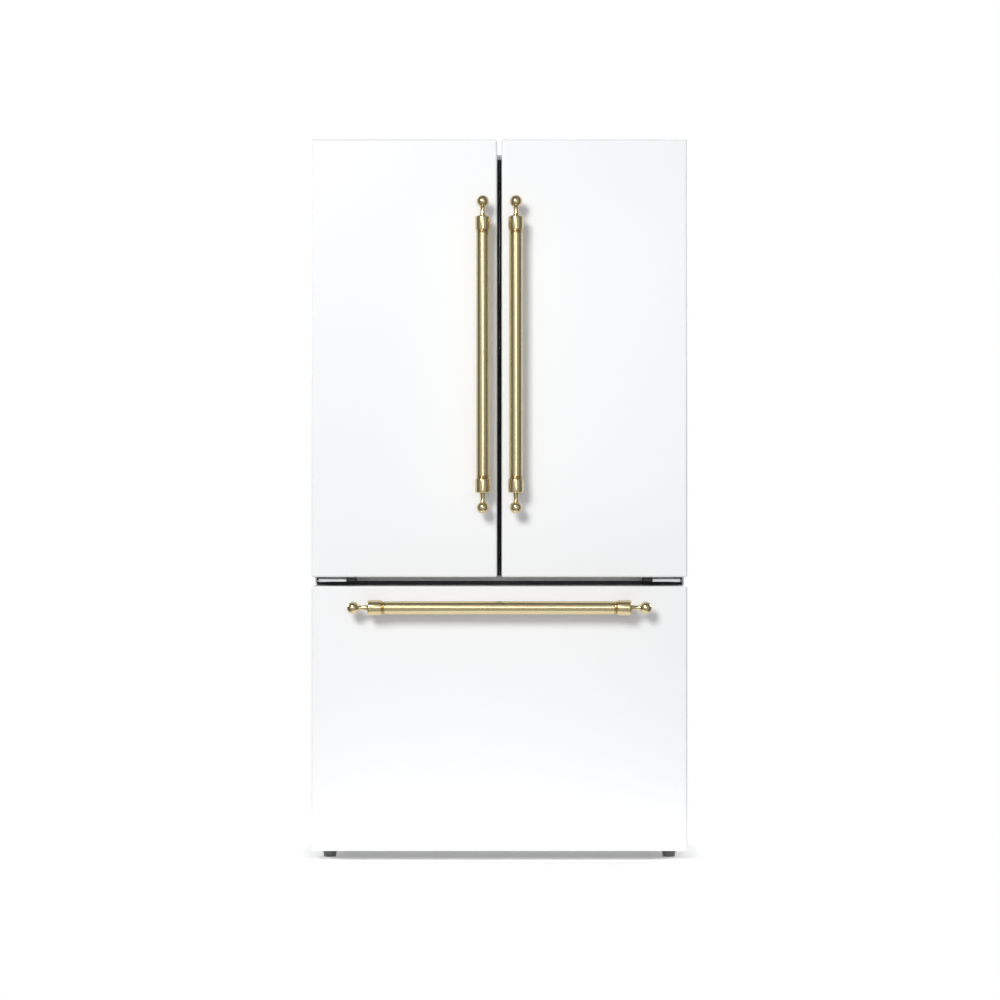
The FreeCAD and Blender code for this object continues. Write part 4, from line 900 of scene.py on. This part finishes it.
def lay_floor(stage):
    """A round pale floor that fades into the backdrop at its rim."""
    radius, fade_starts, fade_ends = 1.3, 0.55, 1.15
    count = 96
    turns = [math.tau * i / count for i in range(count)]
    mesh = bpy.data.meshes.new("floor")
    mesh.from_pydata([(radius * math.cos(a), radius * math.sin(a), 0) for a in turns], [],
                     [tuple(range(count))])
    floor = bpy.data.objects.new("floor", mesh)
    bpy.context.scene.collection.objects.link(floor)
    # A lit table of opal acrylic, sanded matt: even white, and shadows on it stay pale.
    made, tree, shader = blank_material("opal_acrylic")
    set_shader(shader, Base_Color=stage.floor, Roughness=0.8, IOR=1.49, Emission_Color=stage.floor,
               Emission_Strength=stage.floor_glow)
    place = add_node(tree, "ShaderNodeTexCoord")
    distance = add_node(tree, "ShaderNodeVectorMath", {"operation": "LENGTH"}, {0: place.outputs["Object"]})
    fade = add_node(tree, "ShaderNodeMapRange",
                    {"From Min": fade_starts, "From Max": fade_ends, "interpolation_type": "SMOOTHSTEP"},
                    {"Value": distance.outputs["Value"]})
    clear = add_node(tree, "ShaderNodeBsdfTransparent")
    both = add_node(tree, "ShaderNodeMixShader", {}, {0: fade.outputs["Result"], 1: shader.outputs[0],
                                                      2: clear.outputs[0]})
    tree.links.new(both.outputs[0], tree.nodes["Material Output"].inputs["Surface"])
    mesh.materials.append(made)


class REFRIGERATOR_OT_stage(bpy.types.Operator):
    """Lay the floor, set the lights and place the camera square to the doors"""
    bl_idname = "refrigerator.stage"
    bl_label = "Floor, Lights and Camera"

    def execute(self, context):
        scene = context.scene
        stage = scene.refrigerator_stage
        front_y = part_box("drawer_skin")[0].y
        lay_floor(stage)
        light_room(scene, stage)
        aim = (0.0, front_y, 1.0)
        softbox("key_softbox", place=(-2.5, front_y - 7.2, 4.2), target=aim, size=2.3, power=stage.key_power)
        for side, name in ((-1, "left_side_softbox"), (1, "right_side_softbox")):
            softbox(name, place=(side * 3.6, 1.6, 2.2), target=(0, 0.1, 0.9), size=1.8,
                    power=stage.side_power)
        back_share = 1.6
        softbox("back_softbox", place=(0.8, 4.6, 2.6), target=(0, 0.3, 0.9), size=2.0,
                power=stage.side_power * back_share)
        strip = softbox("front_strip", place=(0.3, front_y - 6.0, 1.5), target=aim, size=1.4,
                        power=stage.strip_power)
        strip.data.diffuse_factor = 0.0
        lens = bpy.data.cameras.new("front_camera")
        camera = bpy.data.objects.new("front_camera", lens)
        scene.collection.objects.link(camera)
        camera.location = (stage.view_side, front_y - stage.view_distance, stage.view_height)
        camera.rotation_euler = (math.radians(90), 0, 0)
        lens.sensor_width = 36.0
        lens.lens = lens.sensor_width * stage.view_distance / stage.view_width
        lens.clip_end = 60.0
        scene.camera = camera
        scene.view_settings.view_transform = "Standard"
        return {"FINISHED"}


STEPS = (
    REFRIGERATOR_OT_fronts, REFRIGERATOR_OT_cabinet, REFRIGERATOR_OT_handles, REFRIGERATOR_OT_seals,
    REFRIGERATOR_OT_divider_trim, REFRIGERATOR_OT_middle_hinge_caps, REFRIGERATOR_OT_centre_lips,
    REFRIGERATOR_OT_hinges, REFRIGERATOR_OT_fittings, REFRIGERATOR_OT_lamps_and_controls,
    REFRIGERATOR_OT_cooling, REFRIGERATOR_OT_base, REFRIGERATOR_OT_fasteners, REFRIGERATOR_OT_stage)
GROUPS = {
    "refrigerator_colours": RefrigeratorColours,
    "refrigerator_handles": RefrigeratorHandles,
    "refrigerator_stage": RefrigeratorStage,
}


class REFRIGERATOR_PT_panel(bpy.types.Panel):
    """Lists the building steps with their settings"""
    bl_idname = "REFRIGERATOR_PT_panel"
    bl_label = "French Door Refrigerator"
    bl_space_type = "VIEW_3D"
    bl_region_type = "UI"
    bl_category = "Refrigerator"

    def draw(self, context):
        for step in STEPS:
            self.layout.operator(step.bl_idname)
        for name, group in GROUPS.items():
            box = self.layout.box()
            for setting in group.__annotations__:
                box.prop(getattr(context.scene, name), setting)


def register():
    """Register the settings, the operators and the panel."""
    for group in GROUPS.values():
        bpy.utils.register_class(group)
    for step in STEPS:
        bpy.utils.register_class(step)
    bpy.utils.register_class(REFRIGERATOR_PT_panel)
    for name, group in GROUPS.items():
        setattr(bpy.types.Scene, name, bpy.props.PointerProperty(type=group))


def unregister():
    """Take back what register added."""
    for name in GROUPS:
        delattr(bpy.types.Scene, name)
    bpy.utils.unregister_class(REFRIGERATOR_PT_panel)
    for step in reversed(STEPS):
        bpy.utils.unregister_class(step)
    for group in reversed(list(GROUPS.values())):
        bpy.utils.unregister_class(group)


def main():
    """Build everything in order."""
    register()
    for step in STEPS:
        family, action = step.bl_idname.split(".")
        getattr(getattr(bpy.ops, family), action)()


if __name__ == "__main__":
    main()
